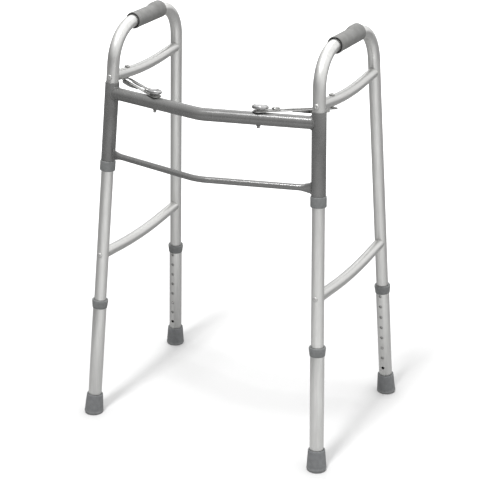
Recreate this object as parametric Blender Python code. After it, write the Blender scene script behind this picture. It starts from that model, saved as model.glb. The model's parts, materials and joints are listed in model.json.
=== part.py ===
"""Folding walking frame with four legs that set for height.

Two side frames of bent tube hinge in the sleeves of a bowed front frame and fold in
against it.  A slotted link from each side frame's upper brace to the front crossbar
holds the side open until its thumb paddle is pressed.  Each leg slides on the side
frame's tube and locks with a snap button.

The walker stands on the floor at Z = 0 with its open side, where the user walks,
towards +Y.  The origin is on the floor under its middle.  Lengths are in metres.
"""
import math

import bmesh
import bpy
from mathutils import Vector

# Stance: where the feet stand, and how each side frame leans and each leg rakes
FOOT_HALF_WIDTH = 0.2654
FOOT_SPACING = 0.3760
SIDE_LEAN = math.radians(3.06)
SIDE_TOE = math.radians(0.85)
FRONT_RAKE = math.radians(4.82)
REAR_RAKE = math.radians(3.29)

# Side frame tube: one length of tube bent over at the top
TUBE_RADIUS = 0.0127
TUBE_WALL = 0.0012
TUBE_TOP = 0.8430
TUBE_BEND_RADIUS = 0.0760
TUBE_END = 0.0790

# Gaps between pieces that touch, and between pieces that run on each other
SEAT_GAP = 0.0003
RUNNING_GAP = 0.0004

# Facets of the round pieces
TUBE_SIDES = 16
BRACE_SIDES = 12
SMALL_SIDES = 10
RIVET_SIDES = 8
HOLE_SIDES = 8
BOSS_SIDES = 6
TOP_BEND_STEPS = 7
CROSSBAR_BEND_STEPS = 4
BRACE_BEND_STEPS = 4

# Telescopic leg, with its row of holes
LEG_WALL = 0.0012
LEG_END = 0.0100
LEG_TOP = 0.2600
HOLE_PITCH = 0.0254
HOLE_COUNT = 8
LOWEST_HOLE = 0.0640
BUTTON_HOLE = 2

# Collar at the leg's top end, narrower at its foot
COLLAR_RADIUS = 0.0171
COLLAR_FOOT_RADIUS = 0.0156
COLLAR_LOW = 0.2462
COLLAR_LIP = 0.0045

# Rubber tip
TIP_RADIUS = 0.0206
TIP_RIM = 0.0042
TIP_EDGE_OFF_FLOOR = 0.0010
TIP_WAIST_RADIUS = 0.0202
TIP_TOP_RADIUS = 0.0176
TIP_HEIGHT = 0.0440

# Snap button and its hairpin spring
BUTTON_RADIUS = 0.0031
BUTTON_FLANGE_RADIUS = 0.0042
BUTTON_STANDS_OUT = 0.0022
BUTTON_PLAY = 0.0004
SPRING_STRIP = 0.0007
SPRING_WIDTH = 0.0080
SPRING_RISE = 0.0400

# Braces between the two legs of a side frame
BRACE_RADIUS = 0.0111
BRACE_WALL = 0.0012
BRACE_SAG = 0.0094
BRACE_BEND_SHARE = 0.56
LOWER_BRACE_HEIGHT = 0.3653

# Rivets that hold the braces
RIVET_HEAD_RADIUS = 0.0048
RIVET_HEAD_HEIGHT = 0.0024
RIVET_SHANK_RADIUS = 0.0024
RIVET_PLUG_DEPTH = 0.0100
RIVET_PLUG_SET_IN = 0.0030
PLUG_PLAY = 0.0012

# Hand grip, as long as the level run of the tube less a little at each end
GRIP_SET_IN = 0.0002
GRIP_RADIUS = 0.0165
GRIP_HUMP = 0.0042
GRIP_HUMP_LENGTH = 0.0440

# Front frame: sleeves, crossbars and how far each crossbar bows forward
SLEEVE_WALL = 0.0011
SLEEVE_LOW = 0.5728
STOP_COLLAR_RADIUS = 0.0160
STOP_COLLAR_HEIGHT = 0.0215
CROSSBAR_RADIUS = 0.0127
CROSSBAR_WALL = 0.0015
CROSSBAR_HEIGHT = 0.7110
CROSSBAR_BOW = 0.0493
CROSSBAR_BEND_RADIUS = 0.0500
LOWER_BAR_RADIUS = 0.00635
LOWER_BAR_WALL = 0.0012
LOWER_BAR_HEIGHT = 0.5839
LOWER_BAR_BOW = 0.0560
LOWER_BAR_BEND_RADIUS = 0.0900
LOWER_BAR_FLARE = 0.0044
LOWER_BAR_FLARE_LENGTH = 0.0240

# Fold latch: the link swings on the plunger and its slot runs to the brace bolt
LATCH_REACH = 0.1180
BOLT_SETBACK = 0.0570
LINK_WIDTH = 0.0230
LINK_SHEET = 0.0012
LINK_LIP = 0.0016
LINK_LIP_WALL = 0.0013
LINK_LIP_START = 0.0640
LINK_LIFT = 0.0012
LINK_OVERRUN = 0.0120
SLOT_WIDTH = 0.0075
SLOT_START = 0.0500
SLOT_END_PLAY = 0.0010
PLATE_SHEET = 0.0012
PLATE_WIDTH = 0.0180
PLATE_LENGTH = 0.0440
BOSS_RADIUS = 0.0074
BOSS_HEIGHT = 0.0042
BOSS_PLACE = 0.0340
PADDLE_LENGTH = 0.0330
PADDLE_WIDTH = 0.0255
PADDLE_HEIGHT = 0.0060
PADDLE_SHIFT = 0.0040
PADDLE_TILT = 0.0500
PADDLE_TRAVEL = 0.0025
PLUNGER_RADIUS = 0.0025
PLUNGER_STUB = 0.0062
PLUNGER_SHOULDER_RADIUS = 0.0040
PLUNGER_SHOULDER_TOP = 0.0094
PLUNGER_SHOULDER_HEIGHT = 0.0018
PLUNGER_SOCKET = 0.0032
WASHER_RADIUS = 0.0085
CLIP_RADIUS = 0.0045
CLIP_SHEET = 0.0008
LATCH_SPRING_WIRE = 0.00045
LATCH_SPRING_RADIUS = 0.0035
LATCH_SPRING_TURNS = 5
HOLE_GAP = 0.0005

# Bolt through the upper brace, with its nut
BOLT_RADIUS = 0.0025
BOLT_HEAD_RADIUS = 0.0058
BOLT_HEAD_HEIGHT = 0.0030
NUT_RADIUS = 0.0066
NUT_HEIGHT = 0.0016
NUT_OVER_LINK = 0.0004

# Sizes that follow from the ones above
LEG_BORE = TUBE_RADIUS + RUNNING_GAP
LEG_RADIUS = LEG_BORE + LEG_WALL
SLEEVE_BORE = (TUBE_RADIUS + SEAT_GAP) / math.cos(math.pi / TUBE_SIDES)
SLEEVE_RADIUS = SLEEVE_BORE + SLEEVE_WALL
BUTTON_HEIGHT = LOWEST_HOLE + BUTTON_HOLE * HOLE_PITCH
TUBE_BORE = TUBE_RADIUS - TUBE_WALL
BOLT_SEAT = BRACE_RADIUS + 2 * SEAT_GAP

# Directions in the right side frame's plane; the left side mirrors them in X
REARWARD = Vector((math.sin(SIDE_TOE), math.cos(SIDE_TOE), 0.0))
OUTWARD = Vector((math.cos(SIDE_LEAN) * math.cos(SIDE_TOE),
                  -math.cos(SIDE_LEAN) * math.sin(SIDE_TOE),
                  math.sin(SIDE_LEAN)))
UPWARD = OUTWARD.cross(REARWARD)


class Place:
    """An origin with an axis through it, and the directions ahead and aside of the axis."""

    def __init__(self, origin, axis, ahead):
        self.origin = Vector(origin)
        self.axis = Vector(axis).normalized()
        flat = Vector(ahead) - self.axis * self.axis.dot(Vector(ahead))
        self.ahead = flat.normalized()
        self.aside = self.axis.cross(self.ahead)

    def point(self, ahead, aside, along):
        return self.origin + self.ahead * ahead + self.aside * aside + self.axis * along


class SideFrame:
    """Points and directions of one side frame: side is 1 on the right and -1 on the left."""

    def __init__(self, side):
        self.side = side
        self.name = "right" if side > 0 else "left"
        self.outward = self.direction(0.0, 0.0, 1.0)

    def direction(self, rearward, upward, outward=0.0):
        vector = REARWARD * rearward + UPWARD * upward + OUTWARD * outward
        return Vector((self.side * vector.x, vector.y, vector.z))

    def point(self, rearward, upward):
        foot = Vector((self.side * FOOT_HALF_WIDTH, -FOOT_SPACING / 2, 0.0))
        return foot + self.direction(rearward, upward)

    def leg(self, end):
        """The axis of the front or rear leg, with its ahead direction facing the other leg."""
        if end == "front":
            foot = self.point(0.0, 0.0)
            axis = self.direction(math.sin(FRONT_RAKE), math.cos(FRONT_RAKE))
            return Place(foot, axis, self.direction(1.0, 0.0))
        foot = self.point(FOOT_SPACING, 0.0)
        axis = self.direction(-math.sin(REAR_RAKE), math.cos(REAR_RAKE))
        return Place(foot, axis, self.direction(-1.0, 0.0))


def circle(place, radius, along, sides):
    """Ring of points square to the place's axis."""
    ring = []
    for index in range(sides):
        angle = 2 * math.pi * index / sides
        ahead = radius * math.cos(angle)
        aside = radius * math.sin(angle)
        ring.append(place.point(ahead, aside, along))
    return ring


def skin(rings, ring_shaped=False):
    """Closed mesh through rings of points, capped at its ends or joined last to first."""
    bm = bmesh.new()
    loops = [[bm.verts.new(point) for point in ring] for ring in rings]
    pairs = list(zip(loops, loops[1:]))
    if ring_shaped:
        pairs.append((loops[-1], loops[0]))
    else:
        bm.faces.new(loops[0])
        bm.faces.new(loops[-1])
    for low, high in pairs:
        for index in range(len(low)):
            following = (index + 1) % len(low)
            bm.faces.new((low[index], low[following], high[following], high[index]))
    bmesh.ops.recalc_face_normals(bm, faces=bm.faces)
    if bm.calc_volume(signed=True) < 0:
        bmesh.ops.reverse_faces(bm, faces=bm.faces)
    return bm


def turned(place, profile, sides, ring_shaped=False):
    """Solid of revolution: profile lists radius and place along the axis."""
    rings = [circle(place, radius, along, sides) for radius, along in profile]
    return skin(rings, ring_shaped)


def prism(place, outline, low, high):
    """Flat outline of ahead and aside places, given thickness along the axis."""
    rings = [[place.point(ahead, aside, along) for ahead, aside in outline]
             for along in (low, high)]
    return skin(rings)


def path_rings(path, across, sizes, sides):
    """Rings square to a path that lies in a plane; sizes are each ring's two half widths."""
    rings = []
    for index, centre in enumerate(path):
        before = path[max(index - 1, 0)]
        after = path[min(index + 1, len(path) - 1)]
        tangent = (after - before).normalized()
        beside = across.cross(tangent).normalized()
        half_across, half_beside = sizes[index]
        ring = []
        for step in range(sides):
            angle = 2 * math.pi * step / sides
            offset = across * (half_across * math.cos(angle)) + beside * (half_beside * math.sin(angle))
            ring.append(centre + offset)
        rings.append(ring)
    return rings


def bent_tube(path, across, radius, wall, sides):
    """Hollow round tube along a path that lies in a plane square to across."""
    outside = path_rings(path, across, [(radius, radius)] * len(path), sides)
    bore = radius - wall
    inside = path_rings(path, across, [(bore, bore)] * len(path), sides)
    return skin(outside + inside[::-1], ring_shaped=True)


def stadium(start, end, width, arc_points):
    """Outline of a strip with round ends whose centres lie at start and end."""
    outline = []
    for centre, turn in ((end, -math.pi / 2), (start, math.pi / 2)):
        for index in range(arc_points + 1):
            angle = turn + math.pi * index / arc_points
            ahead = centre + width / 2 * math.cos(angle)
            outline.append((ahead, width / 2 * math.sin(angle)))
    return outline


def joined(parts):
    """One mesh holding several separate closed shapes."""
    whole = bmesh.new()
    for part in parts:
        held = bpy.data.meshes.new("held")
        part.to_mesh(held)
        part.free()
        whole.from_mesh(held)
        bpy.data.meshes.remove(held)
    return whole


def finish(name, colour, roughness, metallic):
    """Material with one colour and one degree of gloss."""
    material = bpy.data.materials.new(name)
    material.use_nodes = True
    shader = material.node_tree.nodes["Principled BSDF"]
    shader.inputs["Base Color"].default_value = (*colour, 1.0)
    shader.inputs["Roughness"].default_value = roughness
    shader.inputs["Metallic"].default_value = metallic
    return material


def pivot(name, location, parent=None):
    """Empty that stands for one moving group, placed on the group's joint axis."""
    empty = bpy.data.objects.new(name, None)
    empty.empty_display_size = 0.03
    bpy.context.scene.collection.objects.link(empty)
    empty["place"] = tuple(location)
    if parent is None:
        empty.location = location
    else:
        empty.parent = parent
        empty.location = Vector(location) - Vector(parent["place"])
    return empty


def put_mesh(name, bm, group):
    """Object from a mesh in world places, with its origin at its group's pivot."""
    bmesh.ops.translate(bm, vec=-Vector(group["place"]), verts=bm.verts)
    mesh = bpy.data.meshes.new(name)
    bm.to_mesh(mesh)
    bm.free()
    piece = bpy.data.objects.new(name, mesh)
    piece.parent = group
    bpy.context.scene.collection.objects.link(piece)
    return piece


def add_piece(name, bm, material, group):
    """Named piece of the walker."""
    piece = put_mesh(name, bm, group)
    piece.data.materials.append(material)
    piece.data.shade_smooth()
    piece.data.set_sharp_from_angle(angle=math.radians(32))
    return piece


def shape_with(piece, bm, operation):
    """Cut the piece with a shape, or add the shape to it."""
    tool = put_mesh(piece.name + "_" + operation.lower() + "_tool", bm, piece.parent)
    tool.hide_render = True
    tool.display_type = "WIRE"
    modifier = piece.modifiers.new(operation.title(), "BOOLEAN")
    modifier.operation = operation
    modifier.solver = "EXACT"
    modifier.object = tool


def drill(place, radius, low, high):
    """Round cutter along the place's axis, from low to high."""
    return turned(place, [(radius, low), (radius, high)], HOLE_SIDES)


def across_leg(leg, height):
    """Place on a leg's axis at a height, whose axis points to the other leg."""
    return Place(leg.point(0.0, 0.0, height), leg.ahead, leg.axis)


def top_bends():
    """How far rearward and how high each top bend starts, the front one first."""
    front_up = TUBE_TOP - TUBE_BEND_RADIUS * (1 - math.sin(FRONT_RAKE))
    rear_up = TUBE_TOP - TUBE_BEND_RADIUS * (1 - math.sin(REAR_RAKE))
    front_back = front_up * math.tan(FRONT_RAKE)
    rear_back = FOOT_SPACING - rear_up * math.tan(REAR_RAKE)
    return (front_back, front_up), (rear_back, rear_up)


def level_run():
    """How far rearward the tube's level run starts and ends."""
    (front_back, _), (rear_back, _) = top_bends()
    start = front_back + TUBE_BEND_RADIUS * math.cos(FRONT_RAKE)
    end = rear_back - TUBE_BEND_RADIUS * math.cos(REAR_RAKE)
    return start, end


def side_tube_path(frame):
    """Middle line of the side tube: up the front leg, over the hand grip, down the rear leg."""
    turn = TUBE_BEND_RADIUS
    (front_back, front_up), (rear_back, rear_up) = top_bends()
    path = [frame.leg("front").point(0.0, 0.0, TUBE_END)]
    steps = TOP_BEND_STEPS
    for index in range(steps + 1):
        angle = FRONT_RAKE + (math.pi / 2 - FRONT_RAKE) * index / steps
        back = front_back + turn * (math.cos(FRONT_RAKE) - math.cos(angle))
        up = front_up + turn * (math.sin(angle) - math.sin(FRONT_RAKE))
        path.append(frame.point(back, up))
    for index in range(steps + 1):
        angle = math.pi / 2 - (math.pi / 2 - REAR_RAKE) * index / steps
        back = rear_back - turn * (math.cos(REAR_RAKE) - math.cos(angle))
        up = rear_up + turn * (math.sin(angle) - math.sin(REAR_RAKE))
        path.append(frame.point(back, up))
    path.append(frame.leg("rear").point(0.0, 0.0, TUBE_END))
    return path


def along_leg(leg_rake, upward):
    """Distance up a raked leg's axis to a height in the side frame's plane."""
    return upward / math.cos(leg_rake)


def brace_point(frame, upward, share):
    """Point on a brace's middle line: share runs from 0 at the front leg to 1 at the rear."""
    front = upward * math.tan(FRONT_RAKE)
    rear = FOOT_SPACING - upward * math.tan(REAR_RAKE)
    return frame.point(front + (rear - front) * share, upward - brace_drop(share))


def brace_drop(share):
    """How far a brace hangs at a share of its length: bent round at its middle, straight at its ends."""
    half_bend = BRACE_BEND_SHARE / 2
    slope = BRACE_SAG / (0.5 - half_bend / 2)
    off_middle = abs(share - 0.5)
    if off_middle < half_bend:
        return BRACE_SAG - slope * off_middle ** 2 / (2 * half_bend)
    return slope * (0.5 - off_middle)


def brace_shares():
    """Where a brace's stations lie: its two ends, and evenly over its bend."""
    first = (1 - BRACE_BEND_SHARE) / 2
    bend = [first + BRACE_BEND_SHARE * index / BRACE_BEND_STEPS for index in range(BRACE_BEND_STEPS + 1)]
    return [0.0] + bend + [1.0]


def brace_length(upward):
    return FOOT_SPACING - upward * (math.tan(FRONT_RAKE) + math.tan(REAR_RAKE))


class Latch:
    """Places of one side's fold latch, measured along that side's hinge axis."""

    def __init__(self, frame):
        self.hinge = frame.leg("front")
        height = CROSSBAR_HEIGHT / self.hinge.axis.z
        self.bar_end = self.hinge.point(0.0, 0.0, height)
        corner = Vector((0.0, self.bar_end.y - CROSSBAR_BOW, CROSSBAR_HEIGHT))
        self.bar_direction = (corner - self.bar_end).normalized()
        self.centre = self.bar_end + self.bar_direction * LATCH_REACH
        self.link_low = CROSSBAR_RADIUS + LINK_LIFT
        self.link_top = self.link_low + LINK_SHEET
        self.brace_height = self.height_over_link(frame)
        bolt_centre = self.bolt_centre(frame, self.brace_height)
        self.link = Place(self.centre, self.hinge.axis, bolt_centre - self.centre)
        self.paddle = Place(self.centre, self.hinge.axis, self.bar_direction)
        self.bolt = Place(bolt_centre, self.hinge.axis, frame.direction(1.0, 0.0))
        self.bolt_reach = (bolt_centre - self.centre).dot(self.link.ahead)
        self.sleeve_top = self.under_brace(frame) - RUNNING_GAP
        self.plate_top = self.link_top + SEAT_GAP + PLATE_SHEET
        self.paddle_low = self.plate_top + SEAT_GAP + PADDLE_TRAVEL

    def bolt_centre(self, frame, height):
        """Where the bolt crosses the middle line of an upper brace at that height."""
        return brace_point(frame, height, BOLT_SETBACK / brace_length(height))

    def under_brace(self, frame):
        """How far up the hinge axis the upper brace's underside comes over the sleeve's rim."""
        over_rim = brace_point(frame, self.brace_height, SLEEVE_RADIUS / brace_length(self.brace_height))
        return (over_rim - self.hinge.origin).dot(self.hinge.axis) - BRACE_RADIUS

    def height_over_link(self, frame):
        """Upper brace height that holds the nut just over the fold link, found step by step."""
        wanted = self.link_top + NUT_OVER_LINK + NUT_HEIGHT + BOLT_SEAT
        height = CROSSBAR_HEIGHT + wanted
        for _ in range(6):
            reached = (self.bolt_centre(frame, height) - self.centre).dot(self.hinge.axis)
            height += wanted - reached
        return height


def bar_path(frames, height, bow, bend_radius):
    """Middle line of a crossbar from the left sleeve's axis to the right one's."""
    ends = []
    for frame in frames:
        hinge = frame.leg("front")
        ends.append(hinge.point(0.0, 0.0, height / hinge.axis.z))
    left, right = ends
    corner = Vector((0.0, left.y - bow, height))
    half_turn = math.atan2(bow, right.x)
    shortening = bend_radius * math.tan(half_turn)
    bend_centre = corner + Vector((0.0, bend_radius / math.cos(half_turn), 0.0))
    start = corner + (left - corner).normalized() * shortening
    path = [left]
    steps = CROSSBAR_BEND_STEPS
    for index in range(steps + 1):
        angle = half_turn * (2 * index / steps - 1)
        arm = Vector((math.sin(angle), -math.cos(angle), 0.0)) * bend_radius
        path.append(bend_centre + arm)
    path[1] = start
    path.append(right)
    return path


def sleeve_cutters(frames, height, reach):
    """Cylinders that cope a crossbar's ends round the two sleeves."""
    cutters = []
    for frame in frames:
        hinge = frame.leg("front")
        middle = height / hinge.axis.z
        place = Place(hinge.origin, hinge.axis, frame.outward)
        cutters.append(turned(place, [(SLEEVE_RADIUS + SEAT_GAP, middle - reach),
                                      (SLEEVE_RADIUS + SEAT_GAP, middle + reach)], TUBE_SIDES))
    return cutters


def add_front_frame(frames, latches, group, painted):
    """Two hinge sleeves, the upper crossbar and the thinner lower one."""
    for frame, latch in zip(frames, latches):
        place = Place(latch.hinge.origin, latch.hinge.axis, frame.outward)
        profile = [(SLEEVE_RADIUS, SLEEVE_LOW), (SLEEVE_RADIUS, latch.sleeve_top),
                   (SLEEVE_BORE, latch.sleeve_top), (SLEEVE_BORE, SLEEVE_LOW)]
        add_piece(frame.name + "_hinge_sleeve", turned(place, profile, TUBE_SIDES, True), painted, group)

    upward = Vector((0.0, 0.0, 1.0))
    path = bar_path(frames, CROSSBAR_HEIGHT, CROSSBAR_BOW, CROSSBAR_BEND_RADIUS)
    upper = add_piece("upper_crossbar", bent_tube(path, upward, CROSSBAR_RADIUS, CROSSBAR_WALL, TUBE_SIDES),
                      painted, group)
    cutters = sleeve_cutters(frames, CROSSBAR_HEIGHT, 2 * CROSSBAR_RADIUS)
    for latch in latches:
        reach = CROSSBAR_RADIUS * 1.5
        cutters.append(drill(latch.paddle, PLUNGER_RADIUS + HOLE_GAP, -reach, reach))
    shape_with(upper, joined(cutters), "DIFFERENCE")

    path = bar_path(frames, LOWER_BAR_HEIGHT, LOWER_BAR_BOW, LOWER_BAR_BEND_RADIUS)
    left, right = path[0], path[-1]
    inner_left = left + (path[1] - left).normalized() * (SLEEVE_RADIUS + LOWER_BAR_FLARE_LENGTH)
    inner_right = right + (path[-2] - right).normalized() * (SLEEVE_RADIUS + LOWER_BAR_FLARE_LENGTH)
    path = [left, inner_left] + path[1:-1] + [inner_right, right]
    round_size = (LOWER_BAR_RADIUS, LOWER_BAR_RADIUS)
    flat_size = (LOWER_BAR_RADIUS + LOWER_BAR_FLARE, LOWER_BAR_RADIUS - LOWER_BAR_FLARE)
    sizes = [flat_size] + [round_size] * (len(path) - 2) + [flat_size]
    bores = [(high - LOWER_BAR_WALL, deep - LOWER_BAR_WALL) for high, deep in sizes]
    outside = path_rings(path, upward, sizes, BRACE_SIDES)
    inside = path_rings(path, upward, bores, BRACE_SIDES)
    lower = add_piece("lower_crossbar", skin(outside + inside[::-1], True), painted, group)
    shape_with(lower, joined(sleeve_cutters(frames, LOWER_BAR_HEIGHT, 2 * LOWER_BAR_RADIUS)), "DIFFERENCE")


def rivet_place(frame, end, upward):
    """Place on a leg's axis at a brace, with its axis pointing out of the side frame."""
    rake = FRONT_RAKE if end == "front" else REAR_RAKE
    leg = frame.leg(end)
    return Place(leg.point(0.0, 0.0, along_leg(rake, upward)), -leg.ahead, leg.axis)


def add_side_frame(frame, latch, group, finishes):
    """Bent tube with its two braces, grip, stop collar, rivets and brace bolt."""
    tube = add_piece(frame.name + "_side_tube",
                     bent_tube(side_tube_path(frame), frame.outward, TUBE_RADIUS, TUBE_WALL, TUBE_SIDES),
                     finishes["tube"], group)
    cutters = []
    for end in ("front", "rear"):
        leg = frame.leg(end)
        place = across_leg(leg, BUTTON_HEIGHT)
        cutters.append(drill(place, BUTTON_RADIUS + BUTTON_PLAY, TUBE_BORE / 2, TUBE_RADIUS * 1.5))
        for upward in (latch.brace_height, LOWER_BRACE_HEIGHT):
            reach = TUBE_RADIUS * 1.3
            cutters.append(drill(rivet_place(frame, end, upward), RIVET_SHANK_RADIUS + HOLE_GAP, -reach, reach))
    shape_with(tube, joined(cutters), "DIFFERENCE")

    for label, upward in (("upper", latch.brace_height), ("lower", LOWER_BRACE_HEIGHT)):
        path = [brace_point(frame, upward, share) for share in brace_shares()]
        brace = add_piece(frame.name + "_" + label + "_brace",
                          bent_tube(path, frame.outward, BRACE_RADIUS, BRACE_WALL, BRACE_SIDES),
                          finishes["tube"], group)
        cutters = []
        for end, rake in (("front", FRONT_RAKE), ("rear", REAR_RAKE)):
            leg = frame.leg(end)
            place = Place(leg.origin, leg.axis, frame.outward)
            middle = along_leg(rake, upward)
            cope = TUBE_RADIUS + SEAT_GAP
            cutters.append(turned(place, [(cope, middle - 2 * BRACE_RADIUS), (cope, middle + 2 * BRACE_RADIUS)],
                                  TUBE_SIDES))
        if label == "upper":
            cutters.append(drill(latch.bolt, BOLT_RADIUS + HOLE_GAP, -BRACE_RADIUS * 1.5, BRACE_RADIUS * 1.5))
        shape_with(brace, joined(cutters), "DIFFERENCE")
        for end in ("front", "rear"):
            add_rivet(frame, label, end, upward, group, finishes["rivet"])

    add_grip(frame, group, finishes["grip"])
    add_stop_collar(frame, group, finishes["moulding"])
    add_brace_bolt(frame, latch, group, finishes["bright"])


def add_rivet(frame, label, end, upward, group, material):
    """Domed rivet through the leg, with the plug that fills the brace's end."""
    place = rivet_place(frame, end, upward)
    seat = TUBE_RADIUS + SEAT_GAP
    plug_radius = (BRACE_RADIUS - BRACE_WALL) * math.cos(math.pi / BRACE_SIDES) - PLUG_PLAY
    plug_front = -TUBE_RADIUS - RIVET_PLUG_SET_IN
    profile = [(plug_radius, plug_front - RIVET_PLUG_DEPTH), (plug_radius, plug_front),
               (RIVET_SHANK_RADIUS, plug_front), (RIVET_SHANK_RADIUS, seat), (RIVET_HEAD_RADIUS, seat),
               (RIVET_HEAD_RADIUS * 0.86, seat + RIVET_HEAD_HEIGHT * 0.6),
               (RIVET_HEAD_RADIUS * 0.45, seat + RIVET_HEAD_HEIGHT)]
    name = "_".join((frame.name, label, end, "rivet"))
    add_piece(name, turned(place, profile, RIVET_SIDES), material, group)


def add_grip(frame, group, material):
    """Moulded grip on the level run, with a palm hump on top of its rear end."""
    start, end = level_run()
    place = Place(frame.point((start + end) / 2, TUBE_TOP), frame.direction(1.0, 0.0), frame.direction(0.0, 1.0))
    half = (end - start) / 2 - GRIP_SET_IN
    hump_start = half - GRIP_HUMP_LENGTH
    stations = [(-half, -0.0012, 0.0), (-half + 0.0012, 0.0006, 0.0), (-half + 0.0060, 0.0006, 0.0),
                (-half + 0.0085, 0.0, 0.0), (hump_start, 0.0, 0.0), (hump_start + 0.0090, 0.0, 0.85),
                (hump_start + 0.0140, 0.0, 1.0), (half - 0.0080, 0.0, 1.0), (half - 0.0030, 0.0, 0.80),
                (half, -0.0012, 0.30)]
    rings = []
    for along, swell, rise in stations:
        ring = []
        for index in range(TUBE_SIDES):
            angle = 2 * math.pi * index / TUBE_SIDES
            lift = GRIP_HUMP * rise * max(0.0, math.cos(angle)) ** 1.5
            radius = GRIP_RADIUS + swell
            ring.append(place.point(radius * math.cos(angle) + lift, radius * math.sin(angle), along))
        rings.append(ring)
    bore = TUBE_RADIUS + SEAT_GAP
    rings.append(circle(place, bore, half, TUBE_SIDES))
    rings.append(circle(place, bore, -half, TUBE_SIDES))
    add_piece(frame.name + "_hand_grip", skin(rings, ring_shaped=True), material, group)


def add_stop_collar(frame, group, material):
    """Collar fixed on the front leg, on which the front frame's sleeve turns."""
    hinge = frame.leg("front")
    place = Place(hinge.origin, hinge.axis, frame.outward)
    top = SLEEVE_LOW - SEAT_GAP
    low = top - STOP_COLLAR_HEIGHT
    bore = TUBE_RADIUS + SEAT_GAP
    chamfer = 0.0012
    profile = [(bore, low), (STOP_COLLAR_RADIUS - chamfer, low), (STOP_COLLAR_RADIUS, low + chamfer),
               (STOP_COLLAR_RADIUS, top - chamfer), (STOP_COLLAR_RADIUS - chamfer, top), (bore, top)]
    add_piece(frame.name + "_stop_collar", turned(place, profile, TUBE_SIDES, True), material, group)


def add_brace_bolt(frame, latch, group, material):
    """Bolt down through the upper brace and its nut underneath, just clear of the link."""
    nut_low = -BOLT_SEAT - NUT_HEIGHT
    profile = [(BOLT_RADIUS, nut_low), (BOLT_RADIUS, BOLT_SEAT), (BOLT_HEAD_RADIUS, BOLT_SEAT),
               (BOLT_HEAD_RADIUS, BOLT_SEAT + BOLT_HEAD_HEIGHT * 0.5),
               (BOLT_HEAD_RADIUS * 0.6, BOLT_SEAT + BOLT_HEAD_HEIGHT)]
    add_piece(frame.name + "_brace_bolt", turned(latch.bolt, profile, SMALL_SIDES), material, group)
    bore = (BOLT_RADIUS + SEAT_GAP) / math.cos(math.pi / 6)
    profile = [(bore, nut_low), (NUT_RADIUS, nut_low), (NUT_RADIUS, nut_low + NUT_HEIGHT),
               (bore, nut_low + NUT_HEIGHT)]
    add_piece(frame.name + "_brace_nut", turned(latch.bolt, profile, 6, True), material, group)


def add_link(frame, latch, group, material):
    """Slotted steel link, its long edges turned down, with the latch plate riveted on it."""
    place = latch.link
    far = latch.bolt_reach
    outline = stadium(0.0, far + LINK_OVERRUN - LINK_WIDTH / 2, LINK_WIDTH, 8)
    link = add_piece(frame.name + "_fold_link",
                     prism(place, outline, latch.link_low - LINK_LIP, latch.link_top), material, group)
    wide = LINK_WIDTH
    inner = LINK_WIDTH / 2 - LINK_LIP_WALL
    lip_end = far - LINK_WIDTH / 4
    lip_start = LINK_LIP_START
    relief = [(-wide, -wide), (lip_start, -wide), (lip_start, -inner), (lip_end, -inner),
              (lip_end, -wide), (far + wide, -wide), (far + wide, wide), (lip_end, wide),
              (lip_end, inner), (lip_start, inner), (lip_start, wide), (-wide, wide)]
    shape_with(link, prism(place, relief, latch.link_low - 2 * LINK_LIP, latch.link_low), "DIFFERENCE")
    slot_end = far + BOLT_RADIUS + SLOT_END_PLAY - SLOT_WIDTH / 2
    slot = prism(place, stadium(SLOT_START + SLOT_WIDTH / 2, slot_end, SLOT_WIDTH, 4),
                 latch.link_low - LINK_SHEET, latch.link_top + LINK_SHEET)
    eye = drill(place, PLUNGER_RADIUS + HOLE_GAP, latch.link_low - LINK_SHEET, latch.link_top + LINK_SHEET)
    shape_with(link, joined([slot, eye]), "DIFFERENCE")

    low = latch.link_top + SEAT_GAP
    outline = stadium(0.0, PLATE_LENGTH - PLATE_WIDTH / 2, PLATE_WIDTH, 6)
    plate = add_piece(frame.name + "_latch_plate", prism(place, outline, low, latch.plate_top), material, group)
    boss = Place(place.point(BOSS_PLACE, 0.0, 0.0), place.axis, place.ahead)
    profile = [(BOSS_RADIUS, low + PLATE_SHEET / 2), (BOSS_RADIUS, latch.plate_top + BOSS_HEIGHT * 0.6),
               (BOSS_RADIUS * 0.8, latch.plate_top + BOSS_HEIGHT)]
    shape_with(plate, turned(boss, profile, BOSS_SIDES), "UNION")
    eye = drill(place, PLUNGER_RADIUS + HOLE_GAP, low - PLATE_SHEET, latch.plate_top + PLATE_SHEET)
    shape_with(plate, eye, "DIFFERENCE")


def add_washer(frame, latch, group, material):
    """Flat washer between the crossbar's crest and the link."""
    bore = PLUNGER_RADIUS + HOLE_GAP
    low = CROSSBAR_RADIUS + SEAT_GAP
    high = latch.link_low - SEAT_GAP
    profile = [(bore, low), (WASHER_RADIUS, low), (WASHER_RADIUS, high), (bore, high)]
    add_piece(frame.name + "_latch_washer", turned(latch.paddle, profile, 12, True), material, group)


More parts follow.
